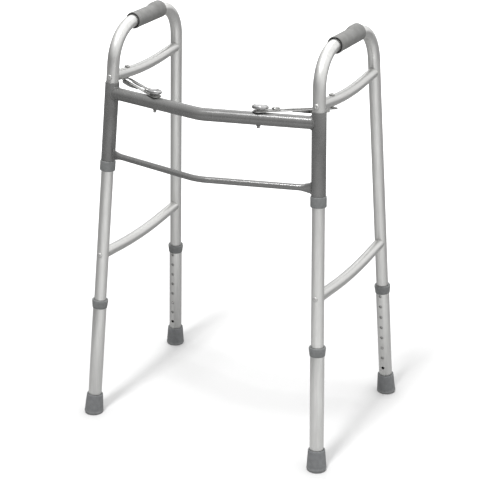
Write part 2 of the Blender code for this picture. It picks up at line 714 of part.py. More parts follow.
def add_paddle(frame, latch, group, finishes):
    """Thumb paddle on its plunger pin, with the pin's return spring and retaining clip."""
    place = latch.paddle
    low = latch.paddle_low
    levels = [(0.80, 0.0), (0.96, 0.12), (1.0, 0.34), (0.93, 0.62), (0.74, 0.86), (0.44, 1.0)]
    rings = []
    for share, rise in levels:
        ring = []
        for index in range(18):
            angle = 2 * math.pi * index / 18
            ahead = PADDLE_LENGTH / 2 * share * math.cos(angle) - PADDLE_SHIFT
            aside = PADDLE_WIDTH / 2 * share * math.sin(angle)
            tilt = PADDLE_TILT * (ahead + PADDLE_SHIFT + PADDLE_LENGTH / 2) * rise
            ring.append(place.point(ahead, aside, low + PADDLE_HEIGHT * rise + tilt))
        rings.append(ring)
    paddle = add_piece(frame.name + "_release_paddle", skin(rings), finishes["chrome"], group)
    socket = drill(place, PLUNGER_RADIUS + HOLE_GAP, low - PLUNGER_SOCKET, low + PLUNGER_SOCKET)
    shape_with(paddle, socket, "DIFFERENCE")

    shoulder = PLUNGER_SHOULDER_TOP
    profile = [(PLUNGER_RADIUS * 0.8, -CROSSBAR_RADIUS - PLUNGER_STUB),
               (PLUNGER_RADIUS, -CROSSBAR_RADIUS - PLUNGER_STUB * 0.9),
               (PLUNGER_RADIUS, shoulder - PLUNGER_SHOULDER_HEIGHT),
               (PLUNGER_SHOULDER_RADIUS, shoulder - PLUNGER_SHOULDER_HEIGHT),
               (PLUNGER_SHOULDER_RADIUS, shoulder), (PLUNGER_RADIUS, shoulder),
               (PLUNGER_RADIUS, low + PLUNGER_SOCKET - SEAT_GAP)]
    add_piece(frame.name + "_plunger_pin", turned(place, profile, SMALL_SIDES), finishes["bright"], group)

    bore = PLUNGER_RADIUS + SEAT_GAP
    clip_top = -CROSSBAR_RADIUS - SEAT_GAP
    profile = [(bore, clip_top - CLIP_SHEET), (CLIP_RADIUS, clip_top - CLIP_SHEET), (CLIP_RADIUS, clip_top),
               (bore, clip_top)]
    add_piece(frame.name + "_plunger_clip", turned(place, profile, SMALL_SIDES, True), finishes["bright"], group)


def add_latch_spring(frame, latch, group, material):
    """Coil spring round the plunger pin, inside the crossbar."""
    place = latch.paddle
    outer = LATCH_SPRING_RADIUS + LATCH_SPRING_WIRE
    chord = (CROSSBAR_RADIUS - CROSSBAR_WALL) * math.cos(math.pi / TUBE_SIDES)
    floor = -math.sqrt(chord ** 2 - outer ** 2)
    low = floor + LATCH_SPRING_WIRE + SEAT_GAP
    high = PLUNGER_SHOULDER_TOP - PLUNGER_SHOULDER_HEIGHT - LATCH_SPRING_WIRE - SEAT_GAP
    points_per_turn = 8
    steps = LATCH_SPRING_TURNS * points_per_turn
    rings = []
    for index in range(steps + 1):
        angle = 2 * math.pi * index / points_per_turn
        radial = place.ahead * math.cos(angle) + place.aside * math.sin(angle)
        centre = place.origin + radial * LATCH_SPRING_RADIUS + place.axis * (low + (high - low) * index / steps)
        ring = []
        for corner in range(4):
            turn = 2 * math.pi * corner / 4
            offset = radial * math.cos(turn) + place.axis * math.sin(turn)
            ring.append(centre + offset * LATCH_SPRING_WIRE)
        rings.append(ring)
    add_piece(frame.name + "_plunger_spring", skin(rings), material, group)


def add_leg(frame, end, side_group, finishes):
    """Telescopic leg with its holes, top collar, rubber tip, snap button and hairpin spring."""
    leg = frame.leg(end)
    name = frame.name + "_" + end
    place = Place(leg.origin, leg.axis, frame.outward)
    group = pivot(name + "_leg", leg.point(0.0, 0.0, LEG_TOP), side_group)
    profile = [(LEG_RADIUS, LEG_END), (LEG_RADIUS, LEG_TOP), (LEG_BORE, LEG_TOP), (LEG_BORE, LEG_END)]
    tube = add_piece(name + "_leg_tube", turned(place, profile, TUBE_SIDES, True), finishes["tube"], group)
    cutters = []
    for index in range(HOLE_COUNT):
        hole = across_leg(leg, LOWEST_HOLE + index * HOLE_PITCH)
        cutters.append(drill(hole, BUTTON_RADIUS + BUTTON_PLAY, LEG_BORE / 2, LEG_RADIUS * 1.4))
    shape_with(tube, joined(cutters), "DIFFERENCE")

    seat = LEG_RADIUS + SEAT_GAP
    lip_low = LEG_TOP + SEAT_GAP
    lip_top = lip_low + COLLAR_LIP
    round_over = 0.0014
    shoulder = lip_top - 3 * round_over
    profile = [(seat, COLLAR_LOW), (COLLAR_FOOT_RADIUS, COLLAR_LOW), (COLLAR_RADIUS, shoulder),
               (COLLAR_RADIUS - 0.2 * round_over, lip_top - round_over), (COLLAR_RADIUS - round_over, lip_top),
               (LEG_BORE, lip_top), (LEG_BORE, lip_low), (seat, lip_low)]
    add_piece(name + "_leg_collar", turned(place, profile, TUBE_SIDES, True), finishes["moulding"], group)
    add_tip(name, place, seat, group, finishes["rubber"])

    press = across_leg(leg, BUTTON_HEIGHT)
    button_group = pivot(name + "_button", press.origin, side_group)
    flange_top = math.sqrt((TUBE_BORE * math.cos(math.pi / TUBE_SIDES)) ** 2 - BUTTON_FLANGE_RADIUS ** 2)
    flange_top = flange_top - SEAT_GAP
    flange_low = flange_top - 0.0012
    reach = LEG_RADIUS + BUTTON_STANDS_OUT
    profile = [(BUTTON_FLANGE_RADIUS, flange_low), (BUTTON_FLANGE_RADIUS, flange_top), (BUTTON_RADIUS, flange_top),
               (BUTTON_RADIUS, reach - 0.0012), (BUTTON_RADIUS * 0.6, reach)]
    add_piece(name + "_snap_button", turned(press, profile, SMALL_SIDES), finishes["bright"], button_group)
    add_hairpin(name, press, flange_low, side_group, finishes["bright"])


def add_tip(name, place, seat, group, material):
    """Flared rubber foot with a rim round its sole, which lies flat on the floor."""
    round_over = 0.0014
    lean = math.hypot(place.axis.x, place.axis.y)
    edge = TIP_RADIUS * lean + TIP_EDGE_OFF_FLOOR
    profile = [(TIP_RADIUS - round_over, 0.0), (TIP_RADIUS, edge), (TIP_RADIUS, TIP_RIM),
               (TIP_WAIST_RADIUS, TIP_RIM + round_over), (TIP_TOP_RADIUS, TIP_HEIGHT - 2 * round_over),
               (TIP_TOP_RADIUS - round_over, TIP_HEIGHT),
               (seat, TIP_HEIGHT), (seat, LEG_END - SEAT_GAP)]
    rings = [circle(place, radius, along, TUBE_SIDES) for radius, along in profile]
    rings[0] = [point - place.axis * (point.z / place.axis.z) for point in rings[0]]
    add_piece(name + "_rubber_tip", skin(rings), material, group)


def add_hairpin(name, press, flange_low, group, material):
    """Hairpin spring inside the tube: one leaf carries the button, the other bears on the wall."""
    half_width = SPRING_WIDTH / 2
    bearing = math.sqrt((TUBE_BORE * math.cos(math.pi / TUBE_SIDES)) ** 2 - half_width ** 2)
    front = flange_low - SEAT_GAP - SPRING_STRIP / 2
    back = -(bearing - SEAT_GAP - SPRING_STRIP / 2)
    foot = -0.0080
    middle = (front + back) / 2
    bend = 0.0025
    shape = [(front, foot), (front, 0.0100), (middle + bend, SPRING_RISE - bend), (middle, SPRING_RISE),
             (middle - bend, SPRING_RISE - bend), (back, 0.0120), (back, foot)]
    outer = []
    inner = []
    for index, (across, up) in enumerate(shape):
        before = shape[max(index - 1, 0)]
        after = shape[min(index + 1, len(shape) - 1)]
        run = Vector((after[0] - before[0], after[1] - before[1])).normalized()
        offset = Vector((-run.y, run.x)) * (SPRING_STRIP / 2)
        outer.append((across + offset.x, up + offset.y))
        inner.append((across - offset.x, up - offset.y))
    outline = outer + inner[::-1]
    side = press.aside
    rings = []
    for shift in (-half_width, half_width):
        rings.append([press.origin + press.axis * across + press.ahead * up + side * shift
                      for across, up in outline])
    add_piece(name + "_button_spring", skin(rings), material, group)


def build():
    for old in list(bpy.data.objects):
        bpy.data.objects.remove(old, do_unlink=True)
    finishes = {
        "tube": finish("silver anodised tube", (0.60, 0.60, 0.58), 0.34, 0.75),
        "painted": finish("grey painted steel", (0.125, 0.125, 0.125), 0.40, 0.25),
        "grip": finish("grey moulded grip", (0.20, 0.20, 0.19), 0.62, 0.0),
        "moulding": finish("grey moulded collar", (0.17, 0.175, 0.175), 0.50, 0.0),
        "rubber": finish("grey rubber", (0.17, 0.175, 0.18), 0.72, 0.0),
        "bright": finish("zinc plated steel", (0.55, 0.55, 0.54), 0.32, 1.0),
        "rivet": finish("steel rivet", (0.45, 0.45, 0.45), 0.36, 1.0),
        "chrome": finish("bright plated paddle", (0.50, 0.50, 0.50), 0.16, 1.0),
    }
    frames = [SideFrame(-1), SideFrame(1)]
    latches = [Latch(frame) for frame in frames]
    front_group = pivot("front_frame", Vector((0.0, 0.0, 0.0)))
    add_front_frame(frames, latches, front_group, finishes["painted"])
    for frame, latch in zip(frames, latches):
        side_group = pivot(frame.name + "_side", latch.bar_end, front_group)
        add_side_frame(frame, latch, side_group, finishes)
        for end in ("front", "rear"):
            add_leg(frame, end, side_group, finishes)
        add_washer(frame, latch, front_group, finishes["bright"])
        add_latch_spring(frame, latch, front_group, finishes["bright"])
        link_group = pivot(frame.name + "_link", latch.link.origin, front_group)
        add_link(frame, latch, link_group, finishes["bright"])
        paddle_group = pivot(frame.name + "_paddle", latch.paddle.origin, front_group)
        add_paddle(frame, latch, paddle_group, finishes)


build()
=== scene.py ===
import json
import math

import bmesh
import bpy
from mathutils import Matrix, Vector


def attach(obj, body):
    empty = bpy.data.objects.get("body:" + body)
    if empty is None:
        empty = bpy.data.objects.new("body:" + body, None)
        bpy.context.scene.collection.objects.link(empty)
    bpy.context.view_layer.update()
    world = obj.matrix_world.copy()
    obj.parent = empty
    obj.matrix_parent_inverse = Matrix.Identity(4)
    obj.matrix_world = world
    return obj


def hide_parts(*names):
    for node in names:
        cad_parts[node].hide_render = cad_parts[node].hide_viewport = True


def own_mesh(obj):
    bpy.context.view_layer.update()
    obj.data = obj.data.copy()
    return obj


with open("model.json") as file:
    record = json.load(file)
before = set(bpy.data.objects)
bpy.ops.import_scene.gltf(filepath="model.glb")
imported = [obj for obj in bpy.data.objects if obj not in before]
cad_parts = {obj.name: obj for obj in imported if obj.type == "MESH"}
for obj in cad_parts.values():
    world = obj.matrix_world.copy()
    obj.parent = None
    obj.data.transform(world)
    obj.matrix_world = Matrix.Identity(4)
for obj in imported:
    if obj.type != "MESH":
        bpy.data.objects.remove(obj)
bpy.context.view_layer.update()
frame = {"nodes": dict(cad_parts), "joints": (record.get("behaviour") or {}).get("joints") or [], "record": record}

# Side tubes
# Each side frame is one length of 25.4 mm aluminium tube, bent cold on a former: up the front
# leg, level under the hand grip and down the rear leg.  It is satin anodised, and drilled for
# the brace rivets and the snap buttons.  The right one is made first and mirrored for the left.
joints = {joint["name"]: joint for joint in frame["joints"]}
soles = {mount["name"]: Vector(mount["pos_m"]) for mount in frame["record"]["mounts"]}
front_foot = soles["right_front_sole"]
rear_foot = soles["right_rear_sole"]
front_up = -Vector(joints["right_front_leg_slide"]["axis"])
rear_up = -Vector(joints["right_rear_leg_slide"]["axis"])
rearward = (rear_foot - front_foot).normalized()
outward = rearward.cross(front_up).normalized()
upward = outward.cross(rearward)
front_rake = math.asin(front_up.dot(rearward))
rear_rake = math.asin(-rear_up.dot(rearward))
foot_spacing = (rear_foot - front_foot).length

tube_radius = 0.0127
tube_wall = 0.0012
tube_top = 0.8430
tube_end = 0.0790
bend_radius = 0.0760
drill_reach = 0.02


def place_along(origin, across, along):
    """A place whose Z runs along, and whose X runs across as nearly as it can."""
    z = Vector(along).normalized()
    x = (Vector(across) - z * z.dot(Vector(across))).normalized()
    turn = Matrix((x, z.cross(x), z)).transposed().to_4x4()
    return Matrix.Translation(origin) @ turn


def pick_only(piece):
    """Selects one piece alone and makes it the active one."""
    bpy.ops.object.select_all(action="DESELECT")
    piece.select_set(True)
    bpy.context.view_layer.objects.active = piece


def start_ring(radius, sides, place=Matrix()):
    """A new piece that starts as one ring square to the place's Z, left selected in edit mode."""
    bpy.ops.object.select_all(action="DESELECT")
    bpy.ops.mesh.primitive_circle_add(vertices=sides, radius=radius)
    piece = bpy.context.object
    piece.matrix_world = place
    bpy.ops.object.transform_apply(location=True, rotation=True, scale=True)
    bpy.ops.object.mode_set(mode="EDIT")
    bpy.ops.mesh.select_all(action="SELECT")
    return piece


def extrude(step):
    """Extrudes what is selected in edit mode."""
    bpy.ops.mesh.extrude_region_move(TRANSFORM_OT_translate={"value": Vector(step)})


def leave_edit(piece):
    """Turns the faces outwards and goes back to object mode."""
    bpy.ops.mesh.select_all(action="SELECT")
    bpy.ops.mesh.normals_make_consistent(inside=False)
    bpy.ops.object.mode_set(mode="OBJECT")
    pick_only(piece)


def apply_modifier(piece, kind, **settings):
    """Gives a piece a modifier with these settings and applies it at once."""
    pick_only(piece)
    modifier = piece.modifiers.new(kind.lower(), kind)
    for setting, value in settings.items():
        setattr(modifier, setting, value)
    bpy.ops.object.modifier_apply(modifier=modifier.name)


def give_wall(piece, wall):
    """Thickens an open tube inwards into a real wall with closed rims."""
    leave_edit(piece)
    apply_modifier(piece, "SOLIDIFY", thickness=wall, offset=-1.0, use_even_offset=True)


def rod(radius, start, end, sides=32):
    """A solid rod between two points, used to cut a hole or a cope."""
    start = Vector(start)
    end = Vector(end)
    bpy.ops.object.select_all(action="DESELECT")
    bpy.ops.mesh.primitive_cylinder_add(vertices=sides, radius=radius, depth=(end - start).length,
                                        location=(start + end) / 2,
                                        rotation=(end - start).to_track_quat("Z", "Y").to_euler())
    return bpy.context.object


def cut(piece, tool, operation="DIFFERENCE"):
    """Cuts a tool's shape out of a piece, or joins it on, and takes the tool away."""
    apply_modifier(piece, "BOOLEAN", operation=operation, solver="EXACT", object=tool)
    bpy.data.objects.remove(tool, do_unlink=True)


def start_edit(piece):
    """Goes into edit mode with all of one piece selected."""
    pick_only(piece)
    bpy.ops.object.mode_set(mode="EDIT")
    bpy.ops.mesh.select_all(action="SELECT")


def settle(piece, place):
    """Puts a piece where it belongs and writes that place into its mesh."""
    pick_only(piece)
    piece.matrix_world = place
    bpy.ops.object.transform_apply(location=True, rotation=True, scale=True)


def mirrored(piece):
    """The left side's copy of a right-hand piece, with its own mesh and its faces turned out again."""
    pick_only(piece)
    bpy.ops.object.duplicate()
    copy = bpy.context.object
    copy.scale.x = -1
    bpy.ops.object.transform_apply(location=True, rotation=True, scale=True)
    start_edit(copy)
    bpy.ops.mesh.flip_normals()
    bpy.ops.object.mode_set(mode="OBJECT")
    return copy


def fit(piece, node, body, finish=None):
    """Names a finished piece and sets it in the walker for its node, in the finish that is given."""
    piece.name = node + "_shape"
    piece.data.name = piece.name
    if finish:
        piece.data.materials.clear()
        piece.data.materials.append(finish)
    pick_only(piece)
    bpy.ops.object.shade_smooth_by_angle(angle=math.radians(34))
    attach(piece, body)
    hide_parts(node)


def fit_both_sides(piece, label, group, finish=None):
    """Fits a right-hand piece and its mirrored left copy, each for its own side's node."""
    for side, half in (("left", mirrored(piece)), ("right", piece)):
        body = group if group == "front_frame" else side + "_" + group
        fit(half, side + "_" + label, body, finish)


def new_finish(name, colour, roughness, metallic):
    """A material whose whole-surface values stand on its shader's own sockets."""
    material = bpy.data.materials.new(name)
    material.use_nodes = True
    shader = material.node_tree.nodes["Principled BSDF"]
    shader.inputs["Base Color"].default_value = (*colour, 1.0)
    shader.inputs["Roughness"].default_value = roughness
    shader.inputs["Metallic"].default_value = metallic
    return material


def grain(material, scale, detail=4.0, stretch=(1.0, 1.0, 1.0), kind="NOISE"):
    """A pattern fixed to the walker: cloudy noise, or the cells of a pebbled or spangled skin."""
    nodes = material.node_tree.nodes
    links = material.node_tree.links
    place = nodes.new("ShaderNodeTexCoord")
    mapping = nodes.new("ShaderNodeMapping")
    mapping.inputs["Scale"].default_value = stretch
    links.new(place.outputs["Object"], mapping.inputs["Vector"])
    if kind == "CELLS":
        texture = nodes.new("ShaderNodeTexVoronoi")
        output = texture.outputs["Distance"]
    else:
        texture = nodes.new("ShaderNodeTexNoise")
        texture.inputs["Detail"].default_value = detail
        output = texture.outputs["Fac"]
    texture.inputs["Scale"].default_value = scale
    links.new(mapping.outputs["Vector"], texture.inputs["Vector"])
    return output


def ranged(owner, value, low, high, at_low, at_high):
    """Turns a value into one that runs from at_low to at_high while it goes from low to high."""
    mapping = owner.node_tree.nodes.new("ShaderNodeMapRange")
    mapping.inputs["From Min"].default_value = low
    mapping.inputs["From Max"].default_value = high
    mapping.inputs["To Min"].default_value = at_low
    mapping.inputs["To Max"].default_value = at_high
    owner.node_tree.links.new(value, mapping.inputs["Value"])
    return mapping.outputs["Result"]


def tint(material, pattern, dark, light):
    """Lets the colour drift between a darker and a lighter tone over a pattern."""
    nodes = material.node_tree.nodes
    links = material.node_tree.links
    ramp = nodes.new("ShaderNodeValToRGB")
    ramp.color_ramp.elements[0].position = 0.32
    ramp.color_ramp.elements[0].color = (*dark, 1.0)
    ramp.color_ramp.elements[1].position = 0.68
    ramp.color_ramp.elements[1].color = (*light, 1.0)
    links.new(pattern, ramp.inputs["Fac"])
    links.new(ramp.outputs["Color"], nodes["Principled BSDF"].inputs["Base Color"])


def gloss(material, pattern, smooth, rough):
    """Lets the roughness drift over the middle of a pattern."""
    shader = material.node_tree.nodes["Principled BSDF"]
    roughness = ranged(material, pattern, 0.30, 0.70, smooth, rough)
    material.node_tree.links.new(roughness, shader.inputs["Roughness"])


def relief(material, pattern, height, strength=0.5):
    """Raises a pattern as a fine relief of that height in metres."""
    nodes = material.node_tree.nodes
    bump = nodes.new("ShaderNodeBump")
    bump.inputs["Strength"].default_value = strength
    bump.inputs["Distance"].default_value = height
    material.node_tree.links.new(pattern, bump.inputs["Height"])
    material.node_tree.links.new(bump.outputs["Normal"], nodes["Principled BSDF"].inputs["Normal"])


def stain_and_shade_below(material, colour, full_height, top_height, strength):
    """Lets a second colour into the first up from the floor, gone by the top height."""
    nodes = material.node_tree.nodes
    links = material.node_tree.links
    base = nodes["Principled BSDF"].inputs["Base Color"]
    place = nodes.new("ShaderNodeTexCoord")
    split = nodes.new("ShaderNodeSeparateXYZ")
    links.new(place.outputs["Object"], split.inputs["Vector"])
    share = ranged(material, split.outputs["Z"], full_height, top_height, strength, 0.0)
    mixed = nodes.new("ShaderNodeMix")
    mixed.data_type = "RGBA"
    mixed.inputs["B"].default_value = (*colour, 1.0)
    links.new(share, mixed.inputs["Factor"])
    links.new(base.links[0].from_socket, mixed.inputs["A"])
    links.new(mixed.outputs["Result"], base)


def drawn_aluminium(name, stretch, tone=0.64):
    """Satin anodised tube, with the faint lines of the drawing die running along it."""
    dark = tone - 0.035
    light = tone + 0.035
    finish = new_finish(name, (tone, tone, tone * 0.98), 0.36, 0.92)
    draw_lines = grain(finish, 260.0, 3.0, stretch)
    tint(finish, draw_lines, (dark, dark, dark * 0.98), (light, light, light * 0.98))
    gloss(finish, grain(finish, 30.0), 0.31, 0.42)
    relief(finish, draw_lines, 0.00003, 0.35)
    return finish


side_plane = place_along(front_foot, outward, upward)
along_front = Vector((0.0, math.sin(front_rake), math.cos(front_rake)))
along_rear = Vector((0.0, -math.sin(rear_rake), math.cos(rear_rake)))
rear_base = Vector((0.0, foot_spacing, 0.0))
front_rise = tube_top - bend_radius * (1 - math.sin(front_rake))
rear_rise = tube_top - bend_radius * (1 - math.sin(rear_rake))
level_start = front_rise * math.tan(front_rake) + bend_radius * math.cos(front_rake)
level_end = foot_spacing - rear_rise * math.tan(rear_rake) - bend_radius * math.cos(rear_rake)

side_tube = start_ring(tube_radius, 48, place_along(along_front * tube_end, (1, 0, 0), along_front))
extrude(along_front * (front_rise / math.cos(front_rake) - tube_end))
bpy.ops.mesh.spin(steps=20, angle=math.pi / 2 - front_rake,
                  center=(0.0, level_start, tube_top - bend_radius), axis=(1.0, 0.0, 0.0))
extrude((0.0, level_end - level_start, 0.0))
bpy.ops.mesh.spin(steps=20, angle=math.pi / 2 - rear_rake,
                  center=(0.0, level_end, tube_top - bend_radius), axis=(1.0, 0.0, 0.0))
extrude(along_rear * (tube_end - rear_rise / math.cos(rear_rake)))
give_wall(side_tube, tube_wall)

brace_heights = {"upper": 0.7453, "lower": 0.3653}
rivet_hole = 0.0029
button_hole = 0.0035
button_height = 0.1148
leg_ways = {"front": (Vector(), along_front, front_rake, 1.0),
            "rear": (rear_base, along_rear, rear_rake, -1.0)}


def leg_point(end, height, ahead=0.0):
    """A point on a leg's axis, or ahead of it towards the other leg, in the side frame's plane."""
    base, along, _, facing = leg_ways[end]
    towards = Vector((0.0, along.z, -along.y)) * facing
    return base + along * height + towards * ahead


for end, (_, _, rake, _) in leg_ways.items():
    cut(side_tube, rod(button_hole, leg_point(end, button_height),
                       leg_point(end, button_height, drill_reach)))
    for height in brace_heights.values():
        middle = height / math.cos(rake)
        cut(side_tube, rod(rivet_hole, leg_point(end, middle, -drill_reach),
                           leg_point(end, middle, drill_reach)))
settle(side_tube, side_plane)

# Inside its legs the side tube is coloured darker, partly for scuffing where it slides and partly as painted
# shade, which shows through their holes.
scuffed_and_shaded = drawn_aluminium("side tube scuff marks and painted shade in its legs", (1.0, 1.0, 0.02))
stain_and_shade_below(scuffed_and_shaded, (0.30, 0.30, 0.295), 0.246, 0.260, 0.6)
fit_both_sides(side_tube, "side_tube", "side", scuffed_and_shaded)

# Braces
# Two 22.2 mm aluminium tubes tie the legs of each side frame together.  Each hangs a little at
# its middle, and its ends are coped to fit round the leg tubes, where a rivet holds them.
# The braces take the anodised finish in a darker tone, as painted shade that holds down the lamps' highlight on
# them.
brace_finish_painted_shade = drawn_aluminium("satin anodised brace tube darkened as painted shade", (1.0, 0.02, 1.0), 0.57)
seat_gap = 0.0003
cope_reach = 0.03
brace_radius = 0.0111
brace_wall = 0.0012
brace_sag = 0.0094
bend_share = 0.56
bolt_setback = 0.0570
bolt_height = brace_heights["upper"] - 0.0055
bolt_hole = 0.0030


def brace_length(height):
    """From leg axis to leg axis at a height."""
    return foot_spacing - height * (math.tan(front_rake) + math.tan(rear_rake))


def brace_slope(height):
    """How steeply a brace falls from its ends to where its bend starts."""
    return math.atan(brace_sag / (brace_length(height) * (0.5 - bend_share / 4)))


bolt_point = Vector((0.0, brace_heights["upper"] * math.tan(front_rake) + bolt_setback, bolt_height))
for label, height in brace_heights.items():
    length = brace_length(height)
    first = Vector((0.0, height * math.tan(front_rake), height))
    slope = brace_slope(height)
    straight = length * (1 - bend_share) / 2
    fall = straight * math.tan(slope)
    turn = length * bend_share / 2 / math.sin(slope)
    lowest = height - fall - turn * (1 - math.cos(slope))
    brace = start_ring(brace_radius, 48, place_along(first, (1, 0, 0), (0, straight, -fall)))
    extrude((0.0, straight, -fall))
    bpy.ops.mesh.spin(steps=16, angle=2 * slope, center=(0.0, first.y + length / 2, lowest + turn),
                      axis=(-1.0, 0.0, 0.0))
    extrude((0.0, straight, fall))
    give_wall(brace, brace_wall)
    for end in ("front", "rear"):
        middle = height / math.cos(leg_ways[end][2])
        cut(brace, rod(tube_radius + seat_gap, leg_point(end, middle - cope_reach),
                       leg_point(end, middle + cope_reach), 60))
    if label == "upper":
        drill_way = along_front * drill_reach
        cut(brace, rod(bolt_hole, bolt_point - drill_way, bolt_point + drill_way, 32))
    # The cuts leave points almost on each other at the rims, which are merged.
    start_edit(brace)
    bpy.ops.mesh.remove_doubles(threshold=0.000003)
    leave_edit(brace)
    settle(brace, side_plane)
    fit_both_sides(brace, label + "_brace", "side", brace_finish_painted_shade)

# Brace rivets
# A steel rivet goes through each leg tube into a plug in the brace's end.  Its low domed head
# is set down round the outside of the leg, with the small dimple that the setting tool leaves.
def turn_profile(profile, sides):
    """A round piece from its profile of radius and height, extruded and scaled ring by ring."""
    radius, height = profile[0]
    piece = start_ring(radius, sides, Matrix.Translation((0.0, 0.0, height)))
    for next_radius, next_height in profile[1:]:
        extrude((0.0, 0.0, next_height - height))
        share = next_radius / radius
        bpy.ops.transform.resize(value=(share, share, 1.0), center_override=(0.0, 0.0, next_height))
        radius, height = next_radius, next_height
    return piece


def solid_turning(profile, sides=32):
    """A turned piece closed at both ends."""
    piece = turn_profile(profile, sides)
    bpy.ops.mesh.select_all(action="SELECT")
    bpy.ops.mesh.fill_holes(sides=0)
    leave_edit(piece)
    return piece


def soften(piece, width):
    """Rounds the piece's sharp edges over by a small width."""
    apply_modifier(piece, "BEVEL", width=width, segments=2, limit_method="ANGLE",
                   angle_limit=math.radians(38), use_clamp_overlap=True)


rivet_steel = new_finish("set rivet steel", (0.50, 0.50, 0.49), 0.48, 0.9)
rivet_marks = grain(rivet_steel, 700.0)
tint(rivet_steel, rivet_marks, (0.45, 0.45, 0.44), (0.55, 0.55, 0.54))
gloss(rivet_steel, grain(rivet_steel, 240.0), 0.42, 0.54)
relief(rivet_steel, rivet_marks, 0.00004)

plug_radius = 0.0083
plug_start = -0.0157
plug_end = -0.0257
shank_radius = 0.0024
head_seat = tube_radius + seat_gap
shank_profile = [(plug_radius, plug_end), (plug_radius, plug_start), (shank_radius, plug_start),
                 (shank_radius, head_seat + 0.0004)]
head_profile = [(0.0053, head_seat - 0.0020), (0.0054, head_seat + 0.0002), (0.0051, head_seat + 0.0009),
                (0.0043, head_seat + 0.0015), (0.0030, head_seat + 0.0020), (0.0017, head_seat + 0.0022),
                (0.0011, head_seat + 0.0017)]
for end in ("front", "rear"):
    for label, height in brace_heights.items():
        middle = height / math.cos(leg_ways[end][2])
        rivet = solid_turning(head_profile, 48)
        cut(rivet, rod(head_seat, (-drill_reach, 0.0, 0.0), (drill_reach, 0.0, 0.0), 64))
        cut(rivet, solid_turning(shank_profile), "UNION")
        soften(rivet, 0.0002)
        axis = leg_point(end, middle, -1.0) - leg_point(end, middle)
        settle(rivet, side_plane @ place_along(leg_point(end, middle), leg_ways[end][1], axis))
        fit_both_sides(rivet, label + "_" + end + "_rivet", "side", rivet_steel)

# Hand grips
# A soft moulded sleeve is pushed on over the level run of each side tube.  It has a bead at its
# front end, a rounded hump for the heel of the hand at its rear end, and a finely pebbled skin.
# Between its front face and the tube there is a shallow recess, coloured near-black as painted shade.
grip_radius = 0.0165
grip_hump = 0.0042
hump_length = 0.0440
grip_half = (level_end - level_start) / 2 - 0.0002
grip_bore = tube_radius + seat_gap

grip_skin = new_finish("pebbled grey grip", (0.215, 0.215, 0.21), 0.56, 0.0)
pebbles = grain(grip_skin, 950.0, kind="CELLS")
tint(grip_skin, grain(grip_skin, 60.0), (0.150, 0.150, 0.145), (0.185, 0.185, 0.18))
gloss(grip_skin, grain(grip_skin, 90.0), 0.48, 0.64)
relief(grip_skin, pebbles, 0.00018, 0.6)
# Painted shade: the recess at the grip's front end is coloured near-black for the shade that falls in it.
recess_painted_shade = new_finish("shaded grip recess", (0.03, 0.03, 0.03), 0.8, 0.0)
tint(recess_painted_shade, grain(recess_painted_shade, 300.0), (0.022, 0.022, 0.022), (0.042, 0.042, 0.042))

recess_depth = 0.0018
recess_radius = 0.0153
body_start = 0.0086 - grip_half
body_end = grip_half - 0.0024
body_stations = 44


def hollow_turning(profile, sides=48):
    """A turned piece with a bore: its last ring is bridged to its first."""
    piece = turn_profile(profile, sides)
    bpy.ops.mesh.select_all(action="DESELECT")
    bpy.ops.mesh.select_non_manifold()
    bpy.ops.mesh.bridge_edge_loops()
    leave_edit(piece)
    return piece


profile = [(grip_bore, recess_depth - grip_half), (0.0150, recess_depth - grip_half),
           (0.0152, 0.0004 - grip_half), (0.0158, -grip_half), (0.0166, 0.0004 - grip_half),
           (0.0171, 0.0014 - grip_half), (0.0171, 0.0056 - grip_half), (0.0168, 0.0072 - grip_half),
           (grip_radius, body_start)]
for index in range(1, body_stations + 1):
    profile.append((grip_radius, body_start + (body_end - body_start) * index / body_stations))
profile += [(0.0162, grip_half - 0.0010), (0.0153, grip_half), (grip_bore, grip_half)]
hand_grip = hollow_turning(profile, 64)


def smooth_step(low, high, value):
    """0 up to the low end, 1 from the high end, and a soft S between them."""
    share = min(max((value - low) / (high - low), 0.0), 1.0)
    return share * share * (3 - 2 * share)


hump_start = grip_half - hump_length
hump_rise = 0.0150
tail_length = 0.0085
tail_drop = 0.62
for vertex in hand_grip.data.vertices:
    radius = math.hypot(vertex.co.x, vertex.co.y)
    if radius > grip_bore + 0.0005:
        rise = smooth_step(hump_start, hump_start + hump_rise, vertex.co.z)
        rise *= 1 - tail_drop * smooth_step(grip_half - tail_length, grip_half, vertex.co.z)
        facing_up = max(0.0, vertex.co.x / radius)
        vertex.co.x += grip_hump * rise * facing_up ** 1.5
hand_grip.data.materials.append(grip_skin)
hand_grip.data.materials.append(recess_painted_shade)
# The faces inside the front recess take the near-black painted shade.
for face in hand_grip.data.polygons:
    at_front = face.center.z < recess_depth - grip_half + 0.0002
    if at_front and face.center.xy.length < recess_radius:
        face.material_index = 1
grip_middle = Vector((0.0, (level_start + level_end) / 2, tube_top))
settle(hand_grip, side_plane @ place_along(grip_middle, (0, 0, 1), (0, 1, 0)))
fit_both_sides(hand_grip, "hand_grip", "side")

# Stop collars
# A moulded collar is fixed on each front leg.  The hinge sleeve of the front frame turns on its
# top face, and it keeps the sleeve from sliding down.
sleeve_low = 0.5728
stop_radius = 0.0160
stop_height = 0.0215

moulding = new_finish("grey moulded collar", (0.170, 0.175, 0.175), 0.48, 0.0)
mould_grain = grain(moulding, 1400.0)
tint(moulding, grain(moulding, 160.0), (0.135, 0.14, 0.14), (0.168, 0.173, 0.173))
gloss(moulding, grain(moulding, 220.0), 0.40, 0.56)
relief(moulding, mould_grain, 0.00006)

